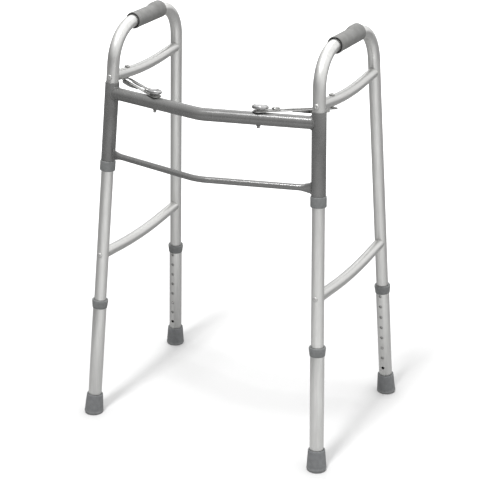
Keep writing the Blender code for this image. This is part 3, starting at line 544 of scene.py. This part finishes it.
stop_top = sleeve_low - seat_gap
stop_low = stop_top - stop_height
stop_collar = hollow_turning([(grip_bore, stop_low), (stop_radius - 0.0014, stop_low),
                              (stop_radius - 0.0003, stop_low + 0.0008), (stop_radius, stop_low + 0.0024),
                              (stop_radius, stop_top - 0.0024), (stop_radius - 0.0003, stop_top - 0.0008),
                              (stop_radius - 0.0014, stop_top), (grip_bore, stop_top)])
soften(stop_collar, 0.0002)
front_leg = place_along(front_foot, outward, front_up)
settle(stop_collar, front_leg)
fit_both_sides(stop_collar, "stop_collar", "side", moulding)

# Hinge sleeves
# A steel sleeve turns on each front leg.  The two crossbars are welded to it and the whole
# front frame is painted dark grey in one coat, with the faint orange peel of sprayed paint.
sleeve_radius = 0.014355
sleeve_bore = 0.0131
sleeve_top = 0.73624

paint = new_finish("dark grey sprayed paint", (0.12, 0.12, 0.118), 0.26, 0.15)
paint.node_tree.nodes["Principled BSDF"].inputs["Specular IOR Level"].default_value = 0.9
orange_peel = grain(paint, 420.0, 2.0)
tint(paint, grain(paint, 40.0), (0.112, 0.112, 0.110), (0.130, 0.130, 0.128))
gloss(paint, grain(paint, 120.0), 0.20, 0.32)
relief(paint, orange_peel, 0.00002, 0.15)

hinge_sleeve = hollow_turning([(sleeve_bore, sleeve_low), (sleeve_radius, sleeve_low),
                               (sleeve_radius, sleeve_top), (sleeve_bore, sleeve_top)])
soften(hinge_sleeve, 0.00035)
settle(hinge_sleeve, front_leg)
fit_both_sides(hinge_sleeve, "hinge_sleeve", "front_frame", paint)

# Upper crossbar
# A 25.4 mm steel tube bows forward from sleeve to sleeve, with its ends coped to them and
# welded all round.  A hole goes down through it for each latch plunger.
bar_radius = 0.0127
bar_wall = 0.0015
bar_bow = 0.0493
bar_bend_radius = 0.0500
plunger_hole = 0.0030
right_end = Vector(joints["right_side_fold"]["pos_m"])
right_plunger = Vector(joints["right_link_swing"]["pos_m"])


def on_side(vector, side):
    """A right-hand point or direction, or its mirror image for side -1."""
    return Vector((side * vector.x, vector.y, vector.z))


def bowed_bar(radius, end, bow, round_bend, flare_rings=0, flare=0.0):
    """An open tube from the left sleeve's axis to the right one's, bent forward at its middle."""
    start = on_side(end, -1)
    corner = Vector((0.0, end.y - bow, end.z))
    half_turn = math.atan2(bow, end.x)
    way = (corner - start).normalized()
    run = way * ((corner - start).length - round_bend * math.tan(half_turn))
    steps = []
    if flare_rings:
        steps = [way * (sleeve_radius / 2)] + [way * (flare / flare_rings)] * flare_rings
    short = run - way * sum(step.length for step in steps)
    bar = start_ring(radius, 48, place_along(start, (0, 0, 1), way))
    for step in steps + [short]:
        extrude(step)
    bpy.ops.mesh.spin(steps=14, angle=2 * half_turn, axis=(0.0, 0.0, -1.0),
                      center=corner + Vector((0.0, round_bend / math.cos(half_turn), 0.0)))
    for step in [short] + steps[::-1]:
        extrude(Vector((step.x, -step.y, step.z)))
    return bar


upper_bar = bowed_bar(bar_radius, right_end, bar_bow, bar_bend_radius)
give_wall(upper_bar, bar_wall)
for side in (-1, 1):
    end = on_side(right_end, side)
    hole = on_side(right_plunger, side)
    lean = on_side(front_up, side)
    cut(upper_bar, rod(sleeve_radius + seat_gap, end - lean * cope_reach, end + lean * cope_reach, 48))
    cut(upper_bar, rod(plunger_hole, hole - lean * drill_reach, hole + lean * drill_reach))
fit(upper_bar, "upper_crossbar", "front_frame", paint)

# Lower crossbar
# A 12.7 mm tube bows forward a little more, and braces the two sleeves at their lower ends.
# Its ends are pressed flat and upright where they are welded to the sleeves.
thin_radius = 0.00635
thin_wall = 0.0012
thin_bow = 0.0560
thin_bend_radius = 0.0900
thin_height = 0.5839
pressed_up = 0.01075
pressed_deep = 0.00195
flare_length = 0.0240

thin_end = front_foot + front_up * (thin_height / front_up.z)
lower_bar = bowed_bar(thin_radius, thin_end, thin_bow, thin_bend_radius,
                      flare_rings=8, flare=sleeve_radius / 2 + flare_length)
give_wall(lower_bar, thin_wall)
thin_turn = math.atan2(thin_bow, thin_end.x)
for vertex in lower_bar.data.vertices:
    side = -1 if vertex.co.x < 0 else 1
    end = on_side(thin_end, side)
    inward = Vector((-side * math.cos(thin_turn), -math.sin(thin_turn), 0.0))
    beside = inward.cross(Vector((0.0, 0.0, 1.0)))
    offset = vertex.co - end
    round_again = smooth_step(sleeve_radius, sleeve_radius + flare_length, offset.dot(inward))
    taller = pressed_up / thin_radius + (1 - pressed_up / thin_radius) * round_again
    thinner = pressed_deep / thin_radius + (1 - pressed_deep / thin_radius) * round_again
    vertex.co.z = end.z + offset.z * taller
    vertex.co += beside * offset.dot(beside) * (thinner - 1)
for side in (-1, 1):
    end = on_side(thin_end, side)
    lean = on_side(front_up, side)
    cut(lower_bar, rod(sleeve_radius + seat_gap, end - lean * cope_reach, end + lean * cope_reach, 48))
fit(lower_bar, "lower_crossbar", "front_frame", paint)

# Weld beads
# Each crossbar is welded to its sleeve all round.  The bead follows the joint between bar and
# sleeve, ripples a little, and lies under the same paint.
bead_radius = 0.0015
bead_lift = 0.3
bead_ripple = 0.08
ripples = 34


def weld_bead(name, end, bow, half_up, half_deep):
    """A rippled bead that follows the joint between a bar's end and the right sleeve."""
    turn = math.atan2(bow, end.x)
    along = Vector((-math.cos(turn), -math.sin(turn), 0.0))
    beside = along.cross(Vector((0.0, 0.0, 1.0)))
    bpy.ops.object.select_all(action="DESELECT")
    bpy.ops.mesh.primitive_torus_add(major_segments=136, minor_segments=10, major_radius=half_up,
                                     minor_radius=bead_radius)
    bead = bpy.context.object
    for vertex in bead.data.vertices:
        angle = math.atan2(vertex.co.y, vertex.co.x)
        swell = 1 + bead_ripple * math.sin(ripples * angle)
        outwards = (math.hypot(vertex.co.x, vertex.co.y) - half_up) * swell
        lift = vertex.co.z * swell
        up = half_up * math.cos(angle)
        deep = half_deep * math.sin(angle)
        square = Vector((math.cos(angle) / half_up, math.sin(angle) / half_deep)).normalized()
        foot = end + Vector((0.0, 0.0, up)) + beside * deep
        offset = foot - end
        offset -= front_up * offset.dot(front_up)
        sideways = along - front_up * along.dot(front_up)
        # How far along the bar the sleeve's surface is met.
        pace = sideways.dot(sideways)
        lead = offset.dot(sideways)
        spare = offset.dot(offset) - (sleeve_radius + seat_gap) ** 2
        reach = (-lead + math.sqrt(max(lead * lead - pace * spare, 0.0))) / pace
        vertex.co = (foot + along * (reach + lift + bead_radius * bead_lift)
                     + Vector((0.0, 0.0, square.x * outwards)) + beside * (square.y * outwards))
    start_edit(bead)
    leave_edit(bead)
    for side, half in (("left", mirrored(bead)), ("right", bead)):
        half.name = side + "_" + name
        half.data.materials.clear()
        half.data.materials.append(paint)
        pick_only(half)
        bpy.ops.object.shade_smooth()
        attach(half, "front_frame")


weld_bead("upper_weld_bead", right_end, bar_bow, bar_radius, bar_radius)
weld_bead("lower_weld_bead", thin_end, thin_bow, pressed_up, pressed_deep)

# Latch washers
# A flat zinc-plated washer lies between the crossbar's crest and the fold link, so that the
# link swings without marking the paint.
washer_radius = 0.0085
washer_low = 0.0130
link_low = 0.0139

zinc = new_finish("bright zinc plate", (0.56, 0.56, 0.55), 0.28, 1.0)
spangle = grain(zinc, 240.0, kind="CELLS")
tint(zinc, grain(zinc, 170.0), (0.38, 0.38, 0.37), (0.50, 0.50, 0.49))
gloss(zinc, spangle, 0.20, 0.36)
relief(zinc, grain(zinc, 900.0), 0.00004, 0.4)

washer = hollow_turning([(plunger_hole, washer_low), (washer_radius, washer_low),
                         (washer_radius, link_low - seat_gap), (plunger_hole, link_low - seat_gap)])
soften(washer, 0.00015)
bar_way = (Vector((0.0, right_end.y - bar_bow, right_end.z)) - right_end).normalized()
paddle_place = place_along(right_plunger, bar_way, front_up)
settle(washer, paddle_place)
fit_both_sides(washer, "latch_washer", "front_frame", zinc)

# Fold links
# A slotted strip of pressed steel swings on the plunger, and its slot runs to the brace bolt.
# Its long edges are turned down, deeper towards the bolt, which makes a stiff channel of it.
link_sheet = 0.0012
link_top = link_low + link_sheet
link_width = 0.0230
link_end = 0.14292
slot_width = 0.0075
slot_first = 0.05375
slot_last = 0.14217
sheet_reach = 0.004
lip_stations = ((0.064, 0.0028), (0.072, 0.0034), (0.080, 0.0044), (0.088, 0.0056), (0.096, 0.0066),
                (0.110, 0.0070), (0.124, 0.0070), (0.1367, 0.0066))


def strip_outline(first, last, width, height, sides=48):
    """A flat outline with round ends centred at first and last along X, left in edit mode."""
    half_step = math.pi / sides
    place = Matrix.Translation((first, 0.0, height)) @ Matrix.Rotation(half_step, 4, "Z")
    piece = start_ring(width / 2 / math.cos(half_step), sides, place)
    shape = bmesh.from_edit_mesh(piece.data)
    for vertex in shape.verts:
        vertex.select = vertex.co.x > first + 1e-6
    shape.select_flush_mode()
    bmesh.update_edit_mesh(piece.data)
    bpy.ops.transform.translate(value=(last - first, 0.0, 0.0))
    bpy.ops.mesh.select_all(action="SELECT")
    bpy.ops.mesh.edge_face_add()
    return piece


def strip_block(first, last, width, low, high, sides=48):
    """A strip with round ends and a thickness."""
    piece = strip_outline(first, last, width, low, sides)
    extrude((0.0, 0.0, high - low))
    leave_edit(piece)
    return piece


fold_link = strip_outline(0.0, link_end, link_width, link_top)
for station, _ in lip_stations:
    bpy.ops.mesh.select_all(action="SELECT")
    bpy.ops.mesh.bisect(plane_co=(station, 0.0, 0.0), plane_no=(1.0, 0.0, 0.0))
bpy.ops.mesh.select_mode(type="EDGE")
bpy.ops.mesh.select_all(action="DESELECT")
shape = bmesh.from_edit_mesh(fold_link.data)
lip_first = lip_stations[0][0]
lip_last = lip_stations[-1][0]
for edge in shape.edges:
    at_side = all(abs(vertex.co.y) > link_width / 2 - 1e-5 for vertex in edge.verts)
    middle = sum(vertex.co.x for vertex in edge.verts) / 2
    edge.select = at_side and len(edge.link_faces) == 1 and lip_first < middle < lip_last
bmesh.update_edit_mesh(fold_link.data)
extrude((0.0, 0.0, -link_sheet))
bpy.ops.mesh.select_mode(type="VERT")
shape = bmesh.from_edit_mesh(fold_link.data)
for vertex in shape.verts:
    if vertex.co.z < link_top - link_sheet / 2:
        station = min(lip_stations, key=lambda pair: abs(pair[0] - vertex.co.x))
        vertex.co.z = link_top - station[1]
bmesh.update_edit_mesh(fold_link.data)
leave_edit(fold_link)
if fold_link.data.polygons[0].normal.z < 0:
    fold_link.data.flip_normals()
apply_modifier(fold_link, "SOLIDIFY", thickness=link_sheet, offset=-1.0, use_even_offset=True)
# Cut into triangles first, the sheet takes the slot without an open edge.
start_edit(fold_link)
bpy.ops.mesh.quads_convert_to_tris()
leave_edit(fold_link)
below_link = link_low - sheet_reach
above_link = link_top + sheet_reach
cut(fold_link, strip_block(slot_first, slot_last, slot_width, below_link, above_link, 28))
cut(fold_link, rod(plunger_hole, (0.0, 0.0, below_link), (0.0, 0.0, above_link)))
soften(fold_link, 0.0003)
bolt_world = side_plane @ bolt_point
link_place = place_along(right_plunger, bolt_world - right_plunger, front_up)
settle(fold_link, link_place)
fit_both_sides(fold_link, "fold_link", "link", zinc)

# Latch plates
# A short zinc-plated plate lies on each link's inner end and turns with it.  The plunger goes
# through the plate, and a six-sided boss stands on its other end.
plate_low = link_top + seat_gap
plate_top = plate_low + 0.0012
plate_length = 0.0350
plate_width = 0.0180
boss_radius = 0.0078
boss_ahead = 0.0340
plate = strip_block(0.0, plate_length, plate_width, plate_low, plate_top)
boss = solid_turning([(boss_radius, plate_low + 0.0004), (boss_radius, plate_top + 0.0030),
                      (0.0070, plate_top + 0.0040), (0.0050, plate_top + 0.0042)], 6)
settle(boss, Matrix.Translation((boss_ahead, 0.0, 0.0)) @ Matrix.Rotation(math.pi / 6, 4, "Z"))
cut(plate, boss, "UNION")
cut(plate, rod(plunger_hole, (0.0, 0.0, below_link), (0.0, 0.0, plate_top + sheet_reach)))
soften(plate, 0.0003)
settle(plate, link_place)
fit_both_sides(plate, "latch_plate", "link", zinc)

# Release paddles
# A bright plated thumb paddle caps each plunger: an oval pad with a rolled rim and a shallow
# dish for the thumb, pressed down to free the link.
paddle_length = 0.0330
paddle_width = 0.0255
paddle_height = 0.0060
paddle_shift = 0.0040
paddle_tilt = 0.0500
paddle_travel = 0.0025
paddle_low = plate_top + seat_gap + paddle_travel
paddle_bore = 0.0032

chrome = new_finish("bright plated paddle", (0.58, 0.58, 0.58), 0.14, 1.0)
tint(chrome, grain(chrome, 60.0), (0.38, 0.38, 0.38), (0.46, 0.46, 0.46))
gloss(chrome, grain(chrome, 160.0), 0.10, 0.24)
relief(chrome, grain(chrome, 500.0), 0.00003, 0.3)

paddle_levels = [(0.74, 0.0), (0.90, 0.06), (0.98, 0.20), (1.0, 0.40), (0.985, 0.62), (0.94, 0.82),
                 (0.87, 0.96), (0.79, 1.0), (0.71, 0.96), (0.62, 0.86), (0.50, 0.78), (0.34, 0.73),
                 (0.16, 0.71)]
half_length = paddle_length / 2
paddle = solid_turning([(half_length * share, paddle_height * rise) for share, rise in paddle_levels], 48)
for vertex in paddle.data.vertices:
    vertex.co.z += paddle_low + paddle_tilt * (vertex.co.x + half_length) * vertex.co.z / paddle_height
    vertex.co.y *= paddle_width / paddle_length
    vertex.co.x -= paddle_shift
cut(paddle, rod(plunger_hole, (0.0, 0.0, paddle_low - sheet_reach),
                (0.0, 0.0, paddle_low + paddle_bore)))
settle(paddle, paddle_place)
fit_both_sides(paddle, "release_paddle", "paddle", chrome)

# Plunger pins and their clips
# The plunger goes down through link, washer and crossbar.  Below the bar it ends in a wider
# peened foot, and a spring clip in its groove keeps it from lifting out.
plunger_radius = 0.0025
foot_radius = 0.0031
pin_low = -bar_radius - 0.0062
shoulder_top = 0.0094
shoulder_low = shoulder_top - 0.0018
shoulder_radius = 0.0040
pin = solid_turning([(foot_radius * 0.7, pin_low), (foot_radius, pin_low + 0.0007),
                     (foot_radius, pin_low + 0.0038), (plunger_radius, pin_low + 0.0042),
                     (plunger_radius, shoulder_low), (shoulder_radius, shoulder_low),
                     (shoulder_radius, shoulder_top), (plunger_radius, shoulder_top),
                     (plunger_radius, paddle_low + paddle_bore - seat_gap)])
soften(pin, 0.00015)
settle(pin, paddle_place)
worn_zinc = new_finish("dulled zinc plate", (0.30, 0.30, 0.295), 0.42, 0.9)
tint(worn_zinc, grain(worn_zinc, 300.0), (0.24, 0.24, 0.235), (0.36, 0.36, 0.355))
gloss(worn_zinc, grain(worn_zinc, 420.0), 0.34, 0.52)
fit_both_sides(pin, "plunger_pin", "paddle", worn_zinc)

clip_top = -bar_radius - seat_gap
clip_low = clip_top - 0.0008
clip_bore = plunger_radius + 0.0001
clip_radius = 0.0045
clip_mouth = 0.0030
clip = hollow_turning([(clip_bore, clip_low), (clip_radius, clip_low), (clip_radius, clip_top),
                       (clip_bore, clip_top)], 40)
bpy.ops.object.select_all(action="DESELECT")
bpy.ops.mesh.primitive_cube_add(size=clip_mouth, location=(0.0, 0.0041, clip_top))
cut(clip, bpy.context.object)
settle(clip, paddle_place)
fit_both_sides(clip, "plunger_clip", "paddle", worn_zinc)

# Brace bolts and nuts
# A bolt goes down through each upper brace.  Its low round head is shaped to sit on the tube
# and has a hexagon socket, and its nut is just clear of the link, whose slot it stands over.
bolt_radius = 0.0025
bolt_seat = brace_radius + 2 * seat_gap
socket_radius = 0.0024
nut_radius = 0.0066
nut_height = 0.0016
nut_low = -bolt_seat - nut_height
bolt = solid_turning([(0.0056, bolt_seat - 0.0024), (0.0058, bolt_seat + 0.0008),
                      (0.0053, bolt_seat + 0.0018), (0.0042, bolt_seat + 0.0026),
                      (0.0034, bolt_seat + 0.0029)], 48)
bolt_place = place_along(bolt_world, rearward, front_up)
slope = brace_slope(brace_heights["upper"])
brace_way = Vector((0.0, math.cos(slope), -math.sin(slope)))
brace_start = Vector((0.0, brace_heights["upper"] * math.tan(front_rake), brace_heights["upper"]))
near_bolt = side_plane @ (brace_start + brace_way * bolt_setback)
brace_run = side_plane.to_3x3() @ brace_way * cope_reach
to_bolt = bolt_place.inverted()
cut(bolt, rod(brace_radius + seat_gap, to_bolt @ (near_bolt - brace_run),
              to_bolt @ (near_bolt + brace_run), 64))
cut(bolt, rod(socket_radius, (0.0, 0.0, bolt_seat + 0.0010), (0.0, 0.0, bolt_seat + 0.0060), 6))
cut(bolt, solid_turning([(bolt_radius - 0.0004, nut_low), (bolt_radius, nut_low + 0.0004),
                         (bolt_radius, bolt_seat + 0.0004)]), "UNION")
soften(bolt, 0.00012)
settle(bolt, bolt_place)
fit_both_sides(bolt, "brace_bolt", "side", zinc)

nut = solid_turning([(0.0060, nut_low), (nut_radius, nut_low + 0.0003), (nut_radius, nut_low + 0.0013),
                     (0.0060, nut_low + nut_height)], 6)
cut(nut, rod(bolt_radius + seat_gap, (0.0, 0.0, nut_low - sheet_reach), (0.0, 0.0, nut_low + sheet_reach)))
soften(nut, 0.0001)
settle(nut, bolt_place)
fit_both_sides(nut, "brace_nut", "side", zinc)

# Leg tubes
# Each leg is a 28.6 mm aluminium tube that slides on the side tube.  A row of eight holes an
# inch apart, facing the other leg, takes the snap button.
leg_bore = 0.0131
leg_radius = 0.0143
leg_low = 0.0100
leg_top = 0.2600
hole_count = 8
hole_pitch = 0.0254
lowest_hole = 0.0640
anodised = drawn_aluminium("satin anodised aluminium", (1.0, 1.0, 0.02))
rear_leg = place_along(rear_foot, outward, rear_up)
leg_places = {"front": (front_leg, 1.0), "rear": (rear_leg, -1.0)}
# The walls of the drilled holes are coloured dark as painted shade, for the shade that falls inside them.
hole_painted_shade = new_finish("painted shade in the drilled holes", (0.17, 0.17, 0.165), 0.6, 0.2)
tint(hole_painted_shade, grain(hole_painted_shade, 500.0), (0.13, 0.13, 0.127), (0.21, 0.21, 0.205))
gloss(hole_painted_shade, grain(hole_painted_shade, 300.0), 0.5, 0.7)
for end, (place, facing) in leg_places.items():
    leg = start_ring(leg_radius, 48, Matrix.Translation((0.0, 0.0, leg_low)))
    extrude((0.0, 0.0, leg_top - leg_low))
    give_wall(leg, leg_radius - leg_bore)
    soften(leg, 0.0003)
    for index in range(hole_count):
        height = lowest_hole + index * hole_pitch
        cut(leg, rod(button_hole, (0.0, 0.0, height), (0.0, facing * drill_reach, height)))
    leg.data.materials.append(anodised)
    leg.data.materials.append(hole_painted_shade)
    # Faces of the hole walls take the painted shade.
    for face in leg.data.polygons:
        in_wall = leg_bore + 0.0002 < face.center.xy.length < leg_radius - 0.0001
        between_rims = leg_low + 0.01 < face.center.z < leg_top - 0.01
        face.material_index = int(in_wall and between_rims)
    settle(leg, place)
    fit_both_sides(leg, end + "_leg_tube", end + "_leg")

# Leg collars
# A moulded collar is pressed on each leg tube's top end.  It tapers down to a thin edge, and its
# lip closes over the tube's rim and guides the side tube.
collar_low = 0.2462
collar_seat = leg_radius + seat_gap
lip_low = leg_top + seat_gap
lip_top = lip_low + 0.0045
for end, (place, _) in leg_places.items():
    collar = hollow_turning([(collar_seat, collar_low), (0.0153, collar_low), (0.0156, collar_low + 0.0004),
                             (0.0162, collar_low + 0.0062), (0.0168, lip_top - 0.0072),
                             (0.0171, lip_top - 0.0042), (0.0170, lip_top - 0.0018),
                             (0.0165, lip_top - 0.0006), (0.0157, lip_top), (0.0136, lip_top),
                             (leg_bore, lip_top - 0.0005), (leg_bore, lip_low), (collar_seat, lip_low)], 56)
    settle(collar, place)
    fit_both_sides(collar, end + "_leg_collar", end + "_leg", moulding)

# Rubber tips
# A moulded rubber foot is pushed on each leg's end.  A rim runs round its sole, which is cut
# to lie flat on the floor, and its body draws in to a soft bead at the top.
tip_radius = 0.0206

rubber = new_finish("grey rubber", (0.170, 0.175, 0.178), 0.66, 0.0)
tint(rubber, grain(rubber, 120.0), (0.138, 0.142, 0.146), (0.172, 0.177, 0.180))
gloss(rubber, grain(rubber, 200.0), 0.56, 0.76)
relief(rubber, grain(rubber, 800.0), 0.00012)
stain_and_shade_below(rubber, (0.30, 0.30, 0.29), 0.0, 0.009, 0.30)

tip_profile = [(0.0186, -0.0036), (0.0192, -0.0008), (0.0199, 0.0012), (0.0204, 0.0024),
               (tip_radius, 0.0034), (tip_radius, 0.0042), (0.0204, 0.0050), (0.0201, 0.0056),
               (0.0199, 0.0090), (0.0193, 0.0180), (0.0187, 0.0270), (0.0181, 0.0350),
               (0.0178, 0.0385), (0.0177, 0.0412), (0.0174, 0.0430), (0.0166, 0.0440),
               (0.0152, 0.0440), (collar_seat, 0.0434), (collar_seat, 0.0097)]
for end, (place, _) in leg_places.items():
    tip = solid_turning(tip_profile, 56)
    settle(tip, place)
    start_edit(tip)
    bpy.ops.mesh.bisect(plane_co=(0.0, 0.0, 0.0), plane_no=(0.0, 0.0, 1.0), use_fill=True,
                        clear_inner=True, threshold=0.000001)
    leave_edit(tip)
    fit_both_sides(tip, end + "_rubber_tip", end + "_leg", rubber)

# Snap buttons
# A domed steel button stands out of each leg through its third hole.  Its flange bears on the
# inside of the side tube's wall, and a hairpin spring presses it out.
button_radius = 0.0031
button_reach = leg_radius + 0.0022
flange_middle = 0.0090
flange_radius = 0.0042
flange_half = 0.0006
for end, (place, facing) in leg_places.items():
    button = solid_turning([(flange_radius, flange_middle - flange_half),
                            (flange_radius, flange_middle + flange_half),
                            (button_radius, flange_middle + flange_half),
                            (button_radius, button_reach - 0.0012),
                            (0.0028, button_reach - 0.0006), (0.0022, button_reach - 0.0002),
                            (0.0012, button_reach)])
    soften(button, 0.00015)
    across_leg = place_along((0.0, 0.0, button_height), (0, 0, 1), (0, facing, 0))
    settle(button, place @ across_leg)
    fit_both_sides(button, end + "_snap_button", end + "_button", zinc)

# Springs
# The hairpin springs hidden in the legs keep their CAD shapes, in dark oiled spring steel.  A
# plunger's spring is a coil of five turns between the crossbar's bottom wall and the plunger's
# shoulder.
spring_steel = new_finish("oiled spring steel", (0.20, 0.20, 0.21), 0.36, 1.0)
tint(spring_steel, grain(spring_steel, 400.0), (0.16, 0.16, 0.17), (0.24, 0.24, 0.25))
gloss(spring_steel, grain(spring_steel, 260.0), 0.28, 0.46)
for name, node in frame["nodes"].items():
    if name.endswith("button_spring"):
        node.data.materials.clear()
        node.data.materials.append(spring_steel)

wire = 0.00045
coil_radius = 0.0035
coil_low = wire + 2 * seat_gap - math.sqrt((bar_radius - bar_wall) ** 2 - (coil_radius + wire) ** 2)
coil_high = shoulder_low - wire - seat_gap
coil_length = coil_high - coil_low
coil_turns = 5
coil_start = Matrix.Translation((coil_radius, 0.0, coil_low)) @ Matrix.Rotation(math.pi / 2, 4, "X")
coil = start_ring(wire, 8, coil_start)
bpy.ops.object.mode_set(mode="OBJECT")
apply_modifier(coil, "SCREW", axis="Z", angle=2 * math.pi, iterations=coil_turns, steps=24,
               render_steps=24, screw_offset=coil_length / coil_turns)
start_edit(coil)
bpy.ops.mesh.fill_holes(sides=0)
leave_edit(coil)
settle(coil, paddle_place)
fit_both_sides(coil, "plunger_spring", "front_frame", spring_steel)
for name, side in (("left", -1), ("right", 1)):
    spring = bpy.data.objects[name + "_plunger_spring_shape"]
    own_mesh(spring)

# Floor
# A matt white floor lies just below the soles and takes the walker's soft shadow.  Far from the
# lamps it glows a little for the camera, and the tubes see it darker away from its lit part, as
# the floor of a room is.
bpy.ops.object.select_all(action="DESELECT")
bpy.ops.mesh.primitive_plane_add(size=14.0, location=(0.0, 0.0, -0.0002))
floor = bpy.context.object
floor.name = "floor"
floor_paper = bpy.data.materials.new("white floor paper")
floor_paper.use_nodes = True
nodes = floor_paper.node_tree.nodes
links = floor_paper.node_tree.links
nodes.remove(nodes["Principled BSDF"])
matt = nodes.new("ShaderNodeBsdfDiffuse")
paper_tone = nodes.new("ShaderNodeMix")
paper_tone.data_type = "RGBA"
paper_tone.inputs["B"].default_value = (0.615, 0.615, 0.615, 1.0)
glow = nodes.new("ShaderNodeEmission")
glow.inputs["Color"].default_value = (1.0, 1.0, 1.0, 1.0)
ray = nodes.new("ShaderNodeLightPath")
seen = nodes.new("ShaderNodeMath")
seen.operation = "MULTIPLY"
both = nodes.new("ShaderNodeAddShader")


def fade_from(spot, near, far, at_near, at_far):
    """A value that changes over the floor with the distance from a spot on it."""
    place = nodes.new("ShaderNodeTexCoord")
    distance = nodes.new("ShaderNodeVectorMath")
    distance.operation = "DISTANCE"
    distance.inputs[1].default_value = spot
    links.new(place.outputs["Object"], distance.inputs[0])
    return ranged(floor_paper, distance.outputs["Value"], near, far, at_near, at_far)


links.new(ray.outputs["Is Camera Ray"], paper_tone.inputs["Factor"])
links.new(fade_from((1.1, -1.8, 0.0), 0.9, 2.6, 0.70, 0.24), paper_tone.inputs["A"])
links.new(paper_tone.outputs["Result"], matt.inputs["Color"])
links.new(ray.outputs["Is Camera Ray"], seen.inputs[0])
links.new(fade_from((0.6, -1.2, 0.0), 1.6, 4.0, 0.0, 0.9), seen.inputs[1])
links.new(seen.outputs["Value"], glow.inputs["Strength"])
links.new(matt.outputs["BSDF"], both.inputs[0])
links.new(glow.outputs["Emission"], both.inputs[1])
links.new(both.outputs["Shader"], nodes["Material Output"].inputs["Surface"])
floor.data.materials.append(floor_paper)

# Room light
# The room is a plain pale studio, brightest above and in front of the walker.  The camera sees
# it as white.
world = bpy.context.scene.world or bpy.data.worlds.new("studio")
bpy.context.scene.world = world
world.use_nodes = True
nodes = world.node_tree.nodes
links = world.node_tree.links
room = nodes["Background"]
room.inputs["Color"].default_value = (1.0, 1.0, 1.0, 1.0)
direction = nodes.new("ShaderNodeTexCoord")
towards_front = nodes.new("ShaderNodeVectorMath")
towards_front.operation = "DOT_PRODUCT"
towards_front.inputs[1].default_value = Vector((0.30, 0.22, 0.93)).normalized()
links.new(direction.outputs["Generated"], towards_front.inputs[0])
links.new(ranged(world, towards_front.outputs["Value"], -0.35, 0.62, 0.12, 1.32), room.inputs["Strength"])
white = nodes.new("ShaderNodeBackground")
white.inputs["Color"].default_value = (1.0, 1.0, 1.0, 1.0)
white.inputs["Strength"].default_value = 1.0
ray = nodes.new("ShaderNodeLightPath")
choice = nodes.new("ShaderNodeMixShader")
links.new(ray.outputs["Is Camera Ray"], choice.inputs["Fac"])
links.new(room.outputs["Background"], choice.inputs[1])
links.new(white.outputs["Background"], choice.inputs[2])
links.new(choice.outputs["Shader"], nodes["World Output"].inputs["Surface"])


def soft_lamp(name, place, aim, width, depth, power):
    """A large soft lamp that faces a point, with its depth running from front to back."""
    light = bpy.data.lights.new(name, "AREA")
    light.energy = power
    light.shape = "RECTANGLE"
    light.size = width
    light.size_y = depth
    lamp = bpy.data.objects.new(name, light)
    bpy.context.scene.collection.objects.link(lamp)
    lamp.location = place
    lamp.rotation_euler = (Vector(aim) - Vector(place)).to_track_quat("-Z", "Y").to_euler()


soft_lamp("key lamp", (-0.1, -2.0, 6.2), (0.0, 0.0, 0.3), 0.55, 1.3, 240.0)
soft_lamp("back lamp", (-0.4, 1.2, 2.2), (0.0, 0.0, 0.5), 1.6, 1.6, 6.0)

# Camera
# It stands ahead of the walker and to its right, well above the grips, and looks down at it at
# the photograph's angle.
camera_data = bpy.data.cameras.new("camera")
camera_data.lens = 105.6
camera_data.sensor_width = 36.0
camera = bpy.data.objects.new("camera", camera_data)
bpy.context.scene.collection.objects.link(camera)
camera.location = (1.2339, -2.4635, 1.5164)
aim = Vector((0.0006, -0.0063, 0.3865))
camera.rotation_euler = (aim - camera.location).to_track_quat("-Z", "Y").to_euler()
bpy.context.scene.camera = camera
bpy.context.scene.view_settings.view_transform = "Standard"
